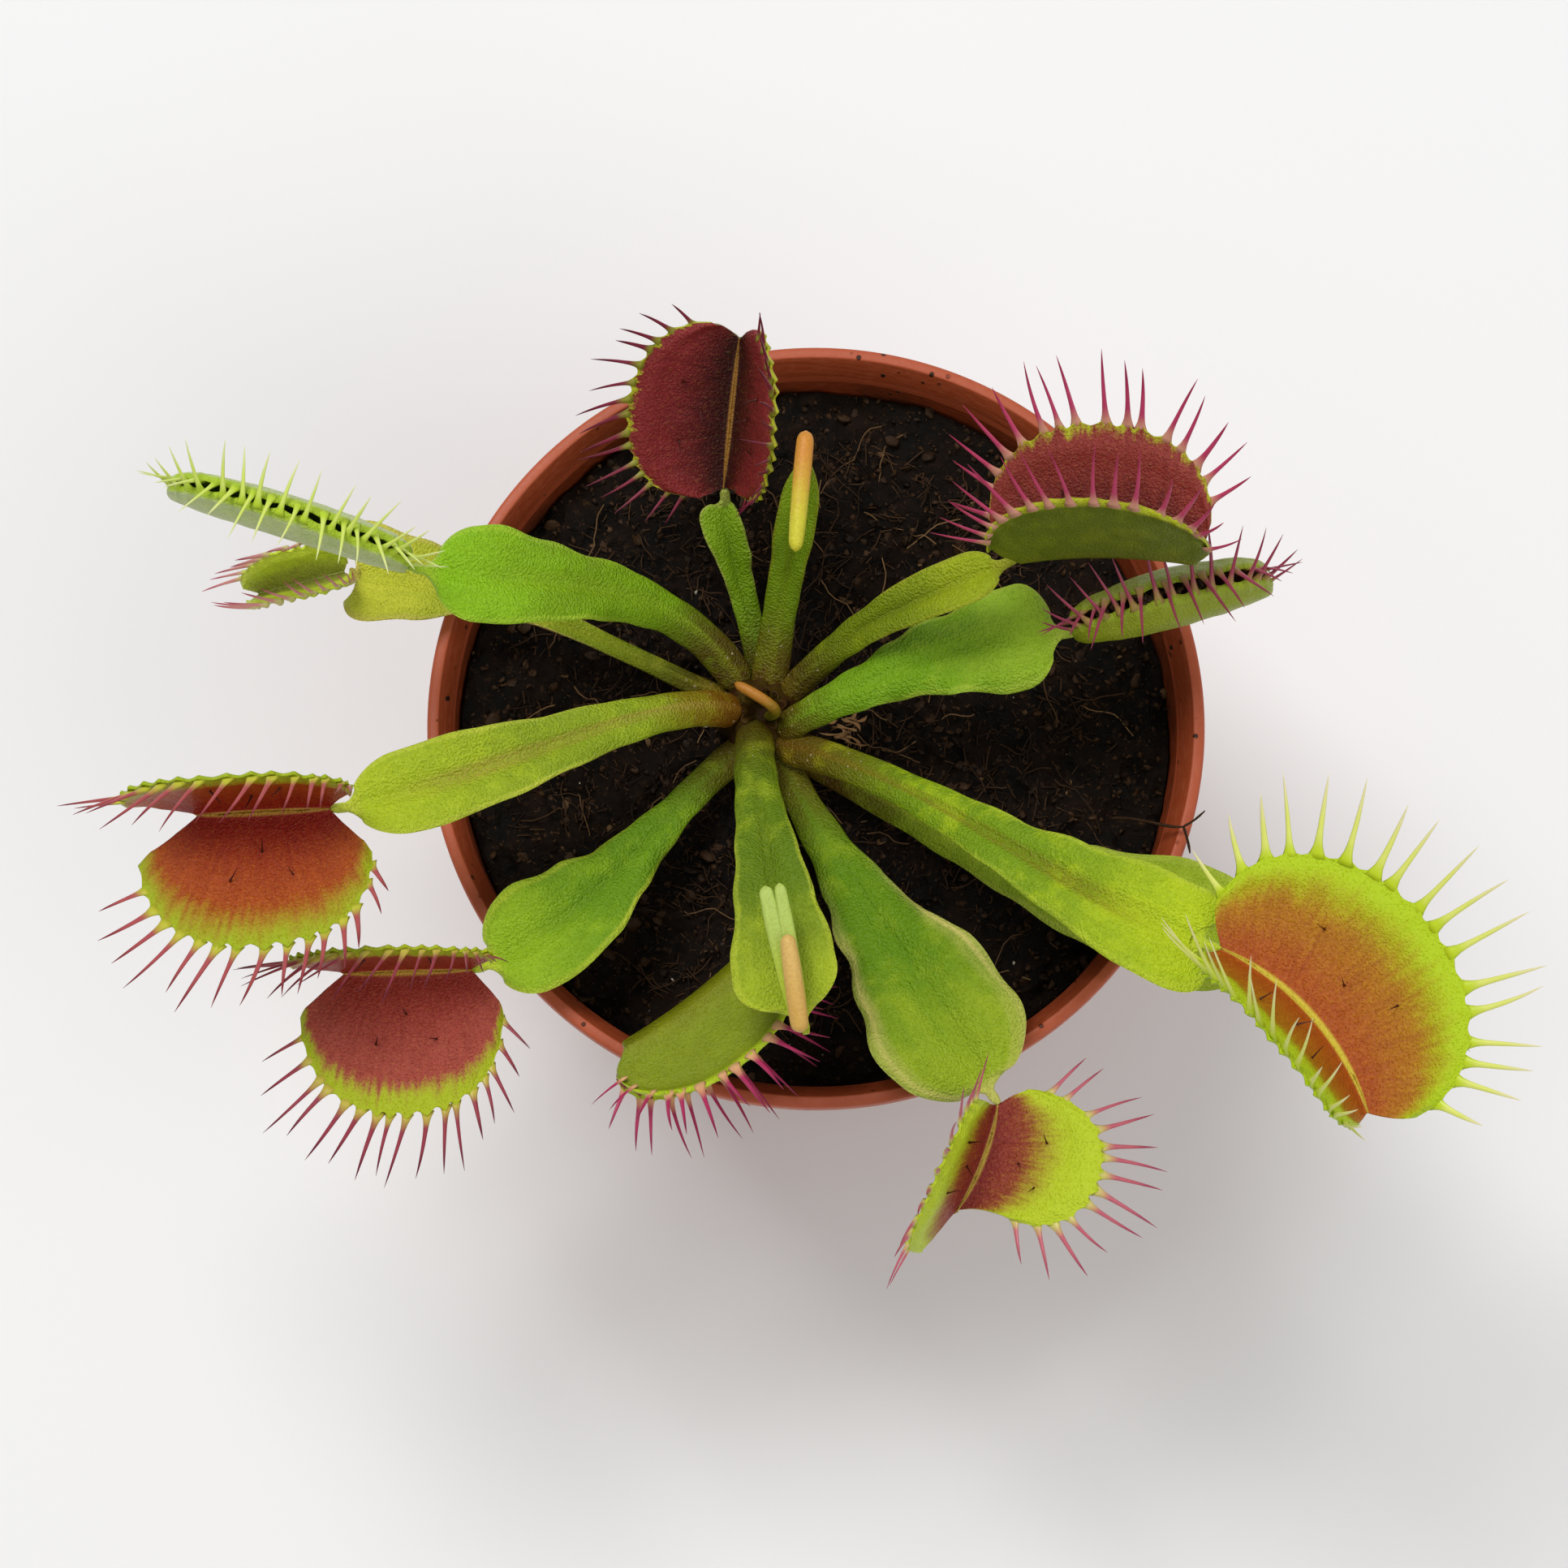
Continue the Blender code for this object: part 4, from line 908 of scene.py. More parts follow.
def crownSeat(azimuth, polar, clear=0.0):  # a point on the crown's dome, and the way out of it
    c = crownPlace
    azimuth, polar = math.radians(azimuth), math.radians(polar)
    around = Vector((math.cos(azimuth), math.sin(azimuth), 0))
    spot = around * c["radius"] * math.sin(polar) + Vector((0, 0, c["dome"] * math.cos(polar)))
    outward = around * math.sin(polar) / c["radius"] + Vector((0, 0, math.cos(polar) / c["dome"]))
    outward.normalize()
    return Vector((c["x"], c["y"], c["level"])) + spot + outward * clear, outward


def bezier(points, t):
    a, b, c, d = points
    s = 1 - t
    place = a * s**3 + b * 3 * s * s * t + c * 3 * s * t * t + d * t**3
    way = (b - a) * s * s + (c - b) * 2 * s * t + (d - c) * t * t
    return place, way.normalized()


def easedValue(values, t):  # reads a list of values at even steps, eased between them
    spot = t * (len(values) - 1)
    index = min(int(spot), len(values) - 2)
    part = spot - index
    part = part * part * (3 - 2 * part)
    return values[index] * (1 - part) + values[index + 1] * part


def stalkFrame(way):
    side = Vector((0, 0, 1)).cross(way).normalized()
    return side, way.cross(side)


def step(value, start, end):  # an eased step from 0 to 1
    part = min(1.0, max(0.0, (value - start) / (end - start)))
    return part * part * (3 - 2 * part)


def startSkin(name, labels, **numbers):  # a group for a skin, with a colour input for each label
    inputs = {label: (0, 0, 0, 1) for label in labels}
    inputs.update({label.replace("_", " "): value for label, value in numbers.items()})
    return startTree(name, inputs, {"Color": (0, 0, 0, 1), "Roughness": 0.0, "Height": 0.0})


def makeSkinGroup():  # colour, roughness and relief of a winged stalk
    tree, given, out = startSkin("stalkSkin", stalkLabels, Rib_Strength=0.5, Edge_Width=0.95)
    place, blade = objectPlace(tree), attributeVector(tree, "blade")
    along, across, under = splitVector(blade)
    far = sums("ABSOLUTE", across)
    streaks = addGroup(tree, streakGroup, {"Vector": blade, "Lines": 9.0, "Stretch": 3.0})
    lines, blotches = streaks["Lines"], streaks["Blotches"]
    mottle, leather = cloud(place, 260.0, 4.0, 0.6), cloud(place, 3600.0, 2.0, 0.5)
    drift = mottle * 0.22 + (along - 0.11)
    colour = blendTones(fade(drift, 0.08, 0.42), given["Start"], given["Blade"])
    colour = blendTones(fade(drift, 0.60, 1.0), colour, given["Outer"])
    colour = darken(fade(lines, 0.36, 0.6, 0.22, 0.0), colour, 0.62, 0.72, 0.45)
    colour = blendTones(fade(mottle, 0.46, 0.7, 0.0, 0.5), colour, given["Outer"])
    colour = darken(fade(leather, 0.36, 0.6, 0.26, 0.0), colour, 0.66, 0.76, 0.4)
    stippled = leather * 0.9 + (blotches - 0.45)
    ribMask = fade(far, 0.06, 0.34, 1.0, 0.0) * given["Rib Strength"]
    ribMask = ribMask * fade(along, 0.75, 0.98, 1.0, 0.0) * fade(stippled, 0.34, 0.6, 0.35, 1.0)
    colour = blendTones(ribMask, colour, given["Rib"])
    ragged = mottle * 0.12 + (far - 0.06)
    edgeMask = fade(ragged, given["Edge Width"] - 0.14, 1.02) * fade(along, 0.3, 0.7)
    edgeMask = edgeMask * fade(blotches, 0.36, 0.6, 0.3, 1.0)
    colour = blendTones(edgeMask, colour, given["Edge"])
    # painted shade: the underside of the stalk is darkened
    colour = darken(under * 0.35, colour, 0.72, 0.76, 0.62)
    colour = blendTones(fade(along, 0.985, 1.03, 0.0, 0.6), colour, given["Edge"])
    colour = darken(fade(along, 0.02, 0.27, 1.0, 0.0), colour, 0.74, 0.44, 0.28)
    grit = addGroup(tree, gritGroup, {"Place": place, "Size": 0.00045, "Amount": 0.08})["Grains"]
    nearSoil = grit * fade(along, 0.05, 0.4, 1.0, 0.05)
    colour = blendTones(nearSoil, colour, tone(190, 172, 134))
    height = leather * 1.6 + (lines * 0.4 + blotches * 0.5)
    connect(out, Color=colour, Roughness=fade(leather, 0.3, 0.7, 0.27, 0.36), Height=height)
    return tree


def makeTrapGroup():  # colour, roughness and relief of a trap's two lobes
    tree, given, out = startSkin("trapSkin", trapLabels, Border=0.85, Softness=0.1)
    place = objectPlace(tree)
    along, up, outside = splitVector(attributeVector(tree, "lobe"))
    turned = joinVector(up, along, outside)
    streaks = addGroup(tree, streakGroup, {"Vector": turned, "Lines": 34.0, "Stretch": 2.6})
    mottle, speckle = cloud(place, 330.0, 4.0, 0.62), cloud(place, 3400.0, 3.0, 0.6)
    dots = addGroup(tree, glandGroup, {"Place": place, "Spacing": 0.00032})["Dots"]
    ragged = speckle * 0.14 + (mottle * 0.14 + (streaks["Lines"] * 0.34 + (up - 0.30)))
    # partly painted shade: the throat tone darkens the inside towards the midrib's crease, over the lobe's
    # own colour
    inner = blendTones(fade(ragged, 0.06, 0.72), given["ThroatAndShade"], given["Disc"])
    inner = darken(fade(streaks["Lines"], 0.36, 0.56, 0.26, 0.0), inner, 0.6, 0.5, 0.45)
    inner = darken(fade(speckle, 0.38, 0.62, 0.34, 0.0), inner, 0.62, 0.5, 0.42)
    inner = blendTones(fade(speckle, 0.52, 0.72, 0.0, 0.09), inner, given["Margin"])
    inner = darken(dots * 0.10, inner, 0.35, 0.25, 0.22)
    low, high = given["Border"] - given["Softness"], given["Border"] + given["Softness"] * 0.35
    inner = blendTones(fade(ragged, low, high), inner, given["Margin"])
    inner = blendTones(fade(up, 0.022, 0.05, 0.85, 0.0), inner, given["Midrib"])
    outer = blendTones(fade(mottle, 0.42, 0.7, 0.0, 0.16), given["Outside"], given["Margin"])
    outer = darken(fade(speckle, 0.38, 0.6, 0.14, 0.0), outer, 0.7, 0.75, 0.5)
    # painted shade: the outside is darkened towards the midrib, where the lobe turns under
    outer = darken(fade(up, 0.0, 0.3, 0.6, 0.0), outer, 0.86, 0.66, 0.4)
    outer = blendTones(fade(mottle * 0.06 + up, 0.90, 0.98), outer, given["Margin"])
    colour, roughness = blendTones(outside, inner, outer), fade(speckle, 0.3, 0.7, 0.28, 0.44)
    height = streaks["Blotches"] * 0.8 + (speckle * 0.9 + dots * 0.25)
    connect(out, Color=colour, Roughness=roughness, Height=height)
    return tree


skinGroup, trapGroup = makeSkinGroup(), makeTrapGroup()
fleshy = {
    "Subsurface Weight": 0.12, "Subsurface Radius": (1.0, 1.1, 0.25), "Subsurface Scale": 0.0008,
    "Specular IOR Level": 0.3,
}


def makeSkinMaterial(name, group, labels, tones, numbers, relief):  # fed by one of the groups above
    material, tree, shader = startMaterial(name, **fleshy)
    look = {label: tone(*value) for label, value in zip(labels, tones)}
    out = addGroup(tree, group, {**look, **numbers})
    connect(shader, Base_Color=out["Color"], Roughness=out["Roughness"], Normal=bump(out["Height"], relief))
    return material


def makeToothMaterial(name, tones):
    material, tree, shader = startMaterial(name, **fleshy)
    root, middle, tip = (tone(*value) for value in tones)
    along = splitVector(attributeVector(tree, "tooth"))[0]
    mottle = cloud(objectPlace(tree), 700.0, 2.0)
    spot = mottle * 0.16 + (along - 0.08)
    colour = blendTones(fade(spot, 0.06, 0.30), root, middle)
    colour = blendTones(fade(spot, 0.45, 0.9), colour, tip)
    connect(shader, Base_Color=colour, Roughness=fade(mottle, 0.3, 0.7, 0.3, 0.44))
    return material


def stalkCurve(leaf):  # a cubic curve along the stalk, and the place where its neck ends
    seat, outward = crownSeat(*leaf["base"], clear=-0.5)
    root = Vector((crownPlace["x"], crownPlace["y"], min(seat.z, crownPlace["level"] + 3.9)))
    root += Vector((*leaf["root"], 0))
    arrive = direction(*leaf["end"])
    neck = Vector(leaf["neck"])
    bladeEnd = neck - arrive * leaf.get("neckLength", bladeSizes["neckLength"])
    bladeEnd -= Vector((0, 0, bladeSizes["neckLift"]))
    span = (bladeEnd - seat).length
    leave = seat.lerp(root, 0.4) + outward * span * leaf["reach"][0]
    return (root, leave, bladeEnd - arrive * span * leaf["reach"][1], bladeEnd), neck


def makeStalk(name, leaf, draw):
    b = bladeSizes
    curve, neck = stalkCurve(leaf)
    across = np.sin(np.linspace(-math.pi / 2, math.pi / 2, b["across"]))[::-1]
    far = np.abs(across)
    rounding = np.sqrt(np.clip(1 - far**14, 0, 1))
    fold = math.radians(leaf["fold"])
    phase = draw.uniform(0, 6.28)
    waves = draw.uniform(2.2, 3.2)
    stations = np.concatenate([
        b["rootRound"] * (1 - np.cos(np.linspace(0.25, math.pi / 2, 7))),
        np.linspace(b["rootRound"], 0.88, 60)[1:],
        0.88 + 0.12 * np.sin(np.linspace(0.1, math.pi / 2, 18)),
    ])
    points, blades = [], []
    for t in stations:
        place, way = bezier(curve, t)
        side, up = (np.array(v) for v in stalkFrame(way))
        place, way = np.array(place), np.array(way)
        blunt = max(0, t - b["shoulderStart"]) / b["shoulderRound"]
        rounded = math.sqrt(1 - max(0, 1 - t / b["rootRound"]) ** 2)
        width = easedValue(leaf["widths"], t) * math.sqrt(1 - blunt**2) * rounded
        width = width * (1.3 - 0.3 * step(t, 0, 0.35))
        shoulder = max(0, t - b["wingStart"]) / (1 - b["wingStart"])
        half = far * width / 2 + across * leaf.get("skew", 0) * shoulder * width / max(leaf["widths"])
        rib = b["rib"][0] + (b["rib"][1] - b["rib"][0]) * t
        wing = max(b["wing"], 1.3 - 3.5 * t)
        lean = fold * step(t, 0.1, 0.6)
        thick = (wing + (rib - wing) * (1 - far) ** 2) * max(0.4, rounded)
        ripple = np.sin(2 * math.pi * waves * t + phase + 1.9 * (across > 0))
        ripple = ripple + 0.5 * np.sin(4.6 * math.pi * waves * t + 2 * phase + 2.7 * (across > 0))
        sway = leaf["wave"] * step(t, 0.25, 0.6) * far**3 * ripple
        arch = b["arch"] * width * np.sin(math.pi * far**0.9) * step(t, 0.2, 0.5)
        groove = -b["groove"] * np.exp(-((far * width / 2) / 0.7) ** 2) * (1 - 0.5 * t) * step(t, 0.3, 0.6)
        dome = -b["dome"] * width * far**2 * (1 - step(t, 0.15, 0.7))
        small = np.array([noise.noise(Vector((t * 8, a * 1.4, phase))) for a in across])
        small = small * (0.08 + 0.014 * width) * (0.4 + far)
        lifted = half * math.sin(lean) + dome + (sway + arch + groove + small) * step(t, 0, 0.12)
        out = np.sign(across) * half * math.cos(lean) + 0.03 * width * far**4 * np.sign(across) * sway
        top = place + np.outer(out, side) + np.outer(lifted - thick * (1 - rounding) / 2, up)
        top = top + np.outer(leaf["shoulder"] * width / 2 * shoulder * far**2, way)
        bottom = top - np.outer(thick * rounding, up)
        points += list(top) + list(bottom[::-1])
        blades += [(t, a, 0) for a in across] + [(t, a, 1) for a in across[::-1]]
    ring = len(across) * 2
    lastRing = np.array(points[-ring:])
    end, way = bezier(curve, 1)
    side, up = (np.array(v) for v in stalkFrame(way))
    angles = [math.asin(a) for a in across]
    circle = [(math.sin(a), math.cos(a)) for a in angles]
    circle += [(math.sin(a), -math.cos(a)) for a in angles[::-1]]
    for q in (0.12, 0.25, 0.4, 0.58, 0.8, 1.0, 1.12, 1.3):  # the last ring closes in to a thin round neck
        centre = np.array(end.lerp(neck, q)) - up * b["neckDiameter"] / 2
        size = b["neckDiameter"] / 2 * (1 if q <= 1 else 1 - 1.2 * (q - 1))
        thin = np.array([centre + (side * x + up * z) * size for x, z in circle])
        share = (1 - min(1, q / 0.58)) ** 1.7
        shifted = lastRing + (centre - lastRing.mean(axis=0)) * (1 - share)
        points += list(shifted * share + thin * (1 - share))
        mark = 1 + 0.05 * q
        blades += [(mark, a, 0) for a in across * share] + [(mark, a, 1) for a in across[::-1] * share]
    rows = len(points) // ring
    faces = loftFaces(rows, ring) + endFaces(0, ring) + endFaces((rows - 1) * ring, ring)
    numbers = {"Rib Strength": leaf.get("ribStrength", 0.5), "Edge Width": leaf.get("edgeWidth", 0.95)}
    material = makeSkinMaterial(f"stalk_{name}", skinGroup, stalkLabels, leaf["tones"], numbers, b["relief"])
    makePiece(f"stalk_{name}", points, faces, material, "petiole", [f"petiole_{name}"], {"blade": blades})


def trapStart(leaf):
    way = direction(*leaf["end"])
    neckMiddle = Vector(leaf["neck"]) - stalkFrame(way)[1] * bladeSizes["neckDiameter"] / 2
    ahead = direction(leaf["trap"]["heading"], leaf["trap"]["rise"])
    halfTurn = (way + ahead).normalized()
    return neckMiddle + halfTurn * lobeSizes["start"] + stalkFrame(ahead)[1] * lobeSizes["midrib"] / 2


def midribFrames(leaf):  # places, ways, sides and ups along the midrib
    trap, count, frames = leaf["trap"], lobeSizes["frames"], []
    place = trapStart(leaf)
    for number in range(count + 1):
        part = number / count
        way = direction(trap["heading"] + trap["turn"] * part, trap["rise"] + trap["lift"] * part)
        frames.append((place.copy(), way, *stalkFrame(way)))
        place += way * trap["length"] / count
    return [np.array([list(frame[k]) for frame in frames]) for k in range(4)]


def readFrames(frames, spots):
    even = np.linspace(0, 1, len(frames[0]))
    return [np.stack([np.interp(spots, even, frame[:, k]) for k in range(3)], axis=1) for frame in frames]


def lobeValue(trap, label, sign, usual):  # a value that may differ between the left and the right lobe
    return trap.get(label, (usual, usual))[0 if sign > 0 else 1]


def lobePoints(trap, frames, sign, spots, shares, depth):  # a grid of points, a row for each share up
    s = lobeSizes
    first, last, half, height, sweep = trap["left" if sign > 0 else "right"]
    spots = np.asarray(spots, float)
    theta = math.radians(s["fan"]) * (2 * spots - 1)
    beyond = half * np.sin(theta) - trap["length"] * (spots - 0.5)
    high = height * np.cos(theta) ** lobeValue(trap, "fullness", sign, s["fullness"])
    spread = lobeValue(trap, "spread", sign, s["spread"])
    place, way, side, up = readFrames(frames, spots)
    rows = []
    for row, v in enumerate(shares):
        v = np.zeros(len(spots)) + v
        out = rise = np.zeros(len(spots))
        for part in range(8):
            angle = np.radians(first + (last - first) * v * (part + 0.5) / 8)
            out = out + np.cos(angle) * v / 8
            rise = rise + np.sin(angle) * v / 8
        angle = np.radians(first + (last - first) * v)
        deep = depth[row] if np.ndim(depth) else depth
        across = high * out + s["hinge"] * v + deep * np.sin(angle)
        lift = high * rise - deep * np.cos(angle)
        along = (beyond + sweep) * (1 - (1 - np.minimum(v, 1)) ** spread + np.maximum(v - 1, 0))
        rows.append(place + way * along[:, None] + side * (sign * across)[:, None] + up * lift[:, None])
    return np.array(rows)


def toothPlaces(trap, sign, draw):  # uneven spots along a margin, from 0 to 1
    count, shift = trap["teeth"], lobeSizes["shift"] * sign
    return [(k + 0.5 - shift + draw.uniform(-0.2, 0.2)) / count for k in range(count)]


def toothCusps(spots, places):  # 1 at a tooth, falling to 0 halfway to the next one
    ends = [2 * places[0] - places[1]] + places + [2 * places[-1] - places[-2]]
    index = np.interp(spots, ends, np.arange(len(ends)))
    return (1 - 2 * np.abs(index - np.round(index))) ** 1.5


def makeLobes(name, trap, frames, places, slot):
    s = lobeSizes
    spots = np.linspace(0, 1, s["columns"] + 1)
    flare = trap.get("flare", s["flare"])
    ends = np.sqrt(np.clip(1 - np.abs(2 * spots - 1) ** 40, 0, 1))
    sides = {}
    for sign in (1, -1):
        cusps = toothCusps(spots, places[sign])
        reaches, innerDepths, outerDepths = [], [], []
        for v in lobeShares:
            rim = step(v, 0.80, 1.0)
            size = trap["length"]
            sway = np.array([noise.noise(Vector((u * 4.5, v * 2.0, sign * 3 + size))) for u in spots])
            small = np.array([noise.noise(Vector((u * 13, v * 6, sign * 5 + size))) for u in spots])
            relief = 0.42 * sway * v + 0.12 * small * step(v, 0.1, 0.4)
            relief = relief + flare * rim**2 * (0.75 + 0.5 * cusps)
            relief = relief - 0.22 * math.exp(-((v - 0.80) / 0.06) ** 2)  # a furrow below the margin
            relief = relief - s["rib"] * math.exp(-((v / 0.035) ** 2))
            thick = s["lobe"] * (1 - 0.3 * rim) + (s["midrib"] - s["lobe"]) * math.exp(-((v / 0.16) ** 2))
            thick = thick * math.sqrt(max(0.04, 1 - max(0, (v - 0.93) / 0.07) ** 2)) * (0.35 + 0.65 * ends)
            thick = thick + 0.16 * cusps * step(v, 0.7, 0.95)
            reaches.append(v * (1 + s["scallop"] * rim * (cusps - 0.45)))
            innerDepths.append(relief)
            outerDepths.append(relief + thick)
        sides[sign] = [
            lobePoints(trap, frames, sign, spots, reaches, depths) for depths in (innerDepths, outerDepths)
        ]
    middle, way, side, up = readFrames(frames, spots)
    bisector = np.zeros((len(spots), 3))
    for sign, key in ((1, "left"), (-1, "right")):
        angle = math.radians(trap[key][0])
        bisector += side * sign * math.cos(angle) + up * math.sin(angle)
    bisector /= np.linalg.norm(bisector, axis=1)[:, None]
    back = middle - bisector * s["midrib"] * (0.5 + 0.5 * ends)[:, None]
    middle = middle + bisector * s["rib"]
    points, marks = [], []
    layers = ((sides[1][0], -1, 0), (sides[-1][0], 1, 0), (sides[-1][1], -1, 1), (sides[1][1], 1, 1))
    for column, u in enumerate(spots):
        for number, (grid, order, outside) in enumerate(layers):
            points += list(grid[::order, column])
            marks += [(u, v, outside) for v in lobeShares[::order]]
            if number % 2 == 0:
                points.append(middle[column] if number == 0 else back[column])
                marks.append((u, 0, outside))
    ring = len(points) // len(spots)
    faces = loftFaces(len(spots), ring) + endFaces(0, ring) + endFaces((len(spots) - 1) * ring, ring)
    numbers = dict(zip(("Border", "Softness"), trap["border"]))
    material = makeSkinMaterial(f"lobes_{name}", trapGroup, trapLabels, trap["tones"], numbers, s["relief"])
    makePiece(f"lobes_{name}", points, faces, material, slot, [f"trap_{name}"], {"lobe": marks})


def floatCurve(value, corners):
    curve = addNode(value.tree, "ShaderNodeFloatCurve", {"Value": value})
    mapping = curve.node.mapping
    line = mapping.curves[0]
    line.points[0].location, line.points[1].location = corners[0], corners[-1]
    for corner in corners[1:-1]:
        line.points.new(*corner)
    mapping.update()
    return curve[0]


def makeToothTree():  # a row of spines: broad at the root, then slender and bent
    inputs = {"Thickness": 0.1, "Unevenness": 0.1, "Seed": 1, "Material": None}
    tree, given, out = startGeometry("toothRow", inputs)
    stick = addNode(tree, "GeometryNodeMeshCylinder", {
        "Vertices": 8, "Side Segments": 14, "Fill Segments": 1, "Radius": 1.0, "Depth": 1.0,
    })
    x, y, z = splitVector(addNode(tree, "GeometryNodeInputPosition")[0])
    along = z + 0.5
    marked = addNode(tree, "GeometryNodeStoreNamedAttribute", {
        "Geometry": stick["Mesh"], "Name": "tooth", "Value": joinVector(along),
    }, data_type="FLOAT_VECTOR", domain="POINT")
    widths = ((0, 1.0), (0.07, 0.70), (0.16, 0.46), (0.30, 0.33), (0.55, 0.25), (0.82, 0.14), (1, 0.02))
    depths = ((0, 1.0), (0.16, 0.72), (0.5, 0.46), (0.8, 0.27), (1, 0.05))
    wide = x * floatCurve(along, widths) * 0.5
    deep = y * floatCurve(along, depths) * (given["Thickness"] * 0.5)
    tooth = addNode(tree, "GeometryNodeSetPosition", {
        "Geometry": marked[0], "Position": joinVector(wide, deep, along),
    })
    outward, inward, cut, bend, marks = (
        addNode(tree, "GeometryNodeInputNamedAttribute", {"Name": label}, data_type="FLOAT_VECTOR")[0]
        for label in ("outward", "inward", "cut", "bend", "tooth")
    )
    jitter = randomVector((-1, -1, -1), (1, 1, 1), given["Seed"])
    outward = vectorSums("ADD", outward, vectorSums("SCALE", jitter, given["Unevenness"]))
    align = "FunctionNodeAlignRotationToVector"
    turned = addNode(tree, align, {"Vector": outward}, axis="Z")[0]
    turned = addNode(tree, align, {"Rotation": turned, "Vector": inward}, axis="Y", pivot_axis="Z")[0]
    placed = addNode(tree, "GeometryNodeInstanceOnPoints", {
        "Points": given["Geometry"], "Instance": tooth[0], "Rotation": turned, "Scale": cut,
    })
    loose = addNode(tree, "GeometryNodeRealizeInstances", {0: placed[0]})
    share = splitVector(marks)[0]
    push = vectorSums("SCALE", bend, share * share)
    bent = addNode(tree, "GeometryNodeSetPosition", {"Geometry": loose[0], "Offset": push})
    finishGeometry(bent[0], given["Material"], out)
    return tree


toothTree = makeToothTree()


# rows: the root, outward, inward, cut and bend of each tooth
def growTeeth(name, rows, thickness, material, draw):
    source = makeSource("toothRoots", [row[0] for row in rows])
    for k, label in enumerate(("outward", "inward", "cut", "bend"), 1):
        layer = source.data.attributes.new(label, "FLOAT_VECTOR", "POINT")
        scale = mm if k > 2 else 1
        layer.data.foreach_set("vector", (np.array([row[k] for row in rows], np.float32) * scale).ravel())
    settings = dict(Thickness=thickness, Unevenness=0.06, Seed=draw.randint(1, 999), Material=material)
    growPiece(name, source, toothTree, settings)
    bpy.data.objects.remove(source)


def makeTeeth(name, trap, frames, places, draw):
    s = lobeSizes
    rows = []
    for sign in (1, -1):
        spots = np.array(places[sign])
        depth = trap.get("flare", s["flare"]) + s["lobe"] * 0.4
        depth *= 1 - 0.02 * min(35, lobeValue(trap, "leans", sign, 0))
        lean, comb = lobeValue(trap, "leans", sign, trap["lean"]), lobeValue(trap, "combs", sign, 0)
        roots = lobePoints(trap, frames, sign, spots, (1.0,), depth)[0]
        margin = lobePoints(trap, frames, sign, np.linspace(0, 1, 200), (1.0,), 0.0)[0]
        pitch = np.linalg.norm(np.diff(margin, axis=0), axis=1).sum() / trap["teeth"]
        theta = math.radians(s["fan"]) * (2 * spots - 1)
        way, side, up = readFrames(frames, spots)[1:]
        for k in range(len(spots)):
            steep = trap["left" if sign > 0 else "right"][1] + lean * draw.uniform(0.7, 1.3)
            steep = math.radians(min(steep, 90 + (steep - 90) * math.cos(theta[k])))
            onward = side[k] * sign * math.cos(steep) + up[k] * math.sin(steep)
            forward = s["splay"] * math.sin(theta[k]) + comb
            outward = way[k] * forward + onward * (math.cos(theta[k]) + 0.25)
            outward /= np.linalg.norm(outward)
            inward = -side[k] * sign * math.sin(steep) + up[k] * math.cos(steep)
            reach = trap["tooth"] * (1 - 0.35 * (2 * spots[k] - 1) ** 2) * draw.uniform(0.82, 1.08)
            reach *= 1 + 0.4 * comb * math.sin(theta[k])
            bend = inward * draw.uniform(0.0, 0.12) - way[k] * math.sin(theta[k]) * 0.08
            bend = (bend + way[k] * draw.uniform(-0.10, 0.10)) * reach
            root = roots[k] - outward * 0.5
            cut = (pitch * s["toothRoot"] * draw.uniform(0.85, 1.1), reach + 0.5, reach + 0.5)
            rows.append((root, outward, inward, cut, bend))
    material = makeToothMaterial(f"teeth_{name}", trap["toothTones"])
    growTeeth(f"teeth_{name}", rows, s["toothDepth"] / trap["tooth"], material, draw)


def makeTriggerHairs(name, trap, frames, draw):  # three fine dark hairs inside each lobe
    rows = []
    for sign in (1, -1):
        for u, v in triggerHairs:
            root = lobePoints(trap, frames, sign, (u,), (v,), -0.05)[0][0]
            beneath = lobePoints(trap, frames, sign, (u,), (v,), 0.6)[0][0]
            inward = (root - beneath) / np.linalg.norm(root - beneath)
            way = readFrames(frames, np.array([u]))[1][0]
            lean = way * draw.uniform(-0.9, 0.9) + np.cross(inward, way) * draw.uniform(-0.7, 0.7)
            outward = inward + lean
            outward /= np.linalg.norm(outward)
            length = draw.uniform(1.5, 2.1)
            rows.append((root, outward, way, (0.34, length, length), inward * draw.uniform(-0.4, 0.4)))
    growTeeth(f"hairs_{name}", rows, 0.16, hairMaterial, draw)


def makePodMaterial(name, tones):  # tones: where it begins and where it ends
    material, tree, shader = startMaterial(name, **fleshy)
    along = splitVector(attributeVector(tree, "pod"))[0]
    place = objectPlace(tree)
    mottle, grain = cloud(place, 500.0, 4.0), cloud(place, 3000.0, 3.0)
    spot = mottle * 0.3 + (along - 0.15)
    colour = blendTones(fade(spot, 0.2, 0.8), tone(*tones[0]), tone(*tones[1]))
    colour = darken(fade(grain, 0.36, 0.6, 0.3, 0.0), colour, 0.75, 0.66, 0.5)
    roughness = fade(mottle, 0.3, 0.7, 0.34, 0.5)
    connect(shader, Base_Color=colour, Roughness=roughness, Normal=bump(grain, 0.0001))
    return material


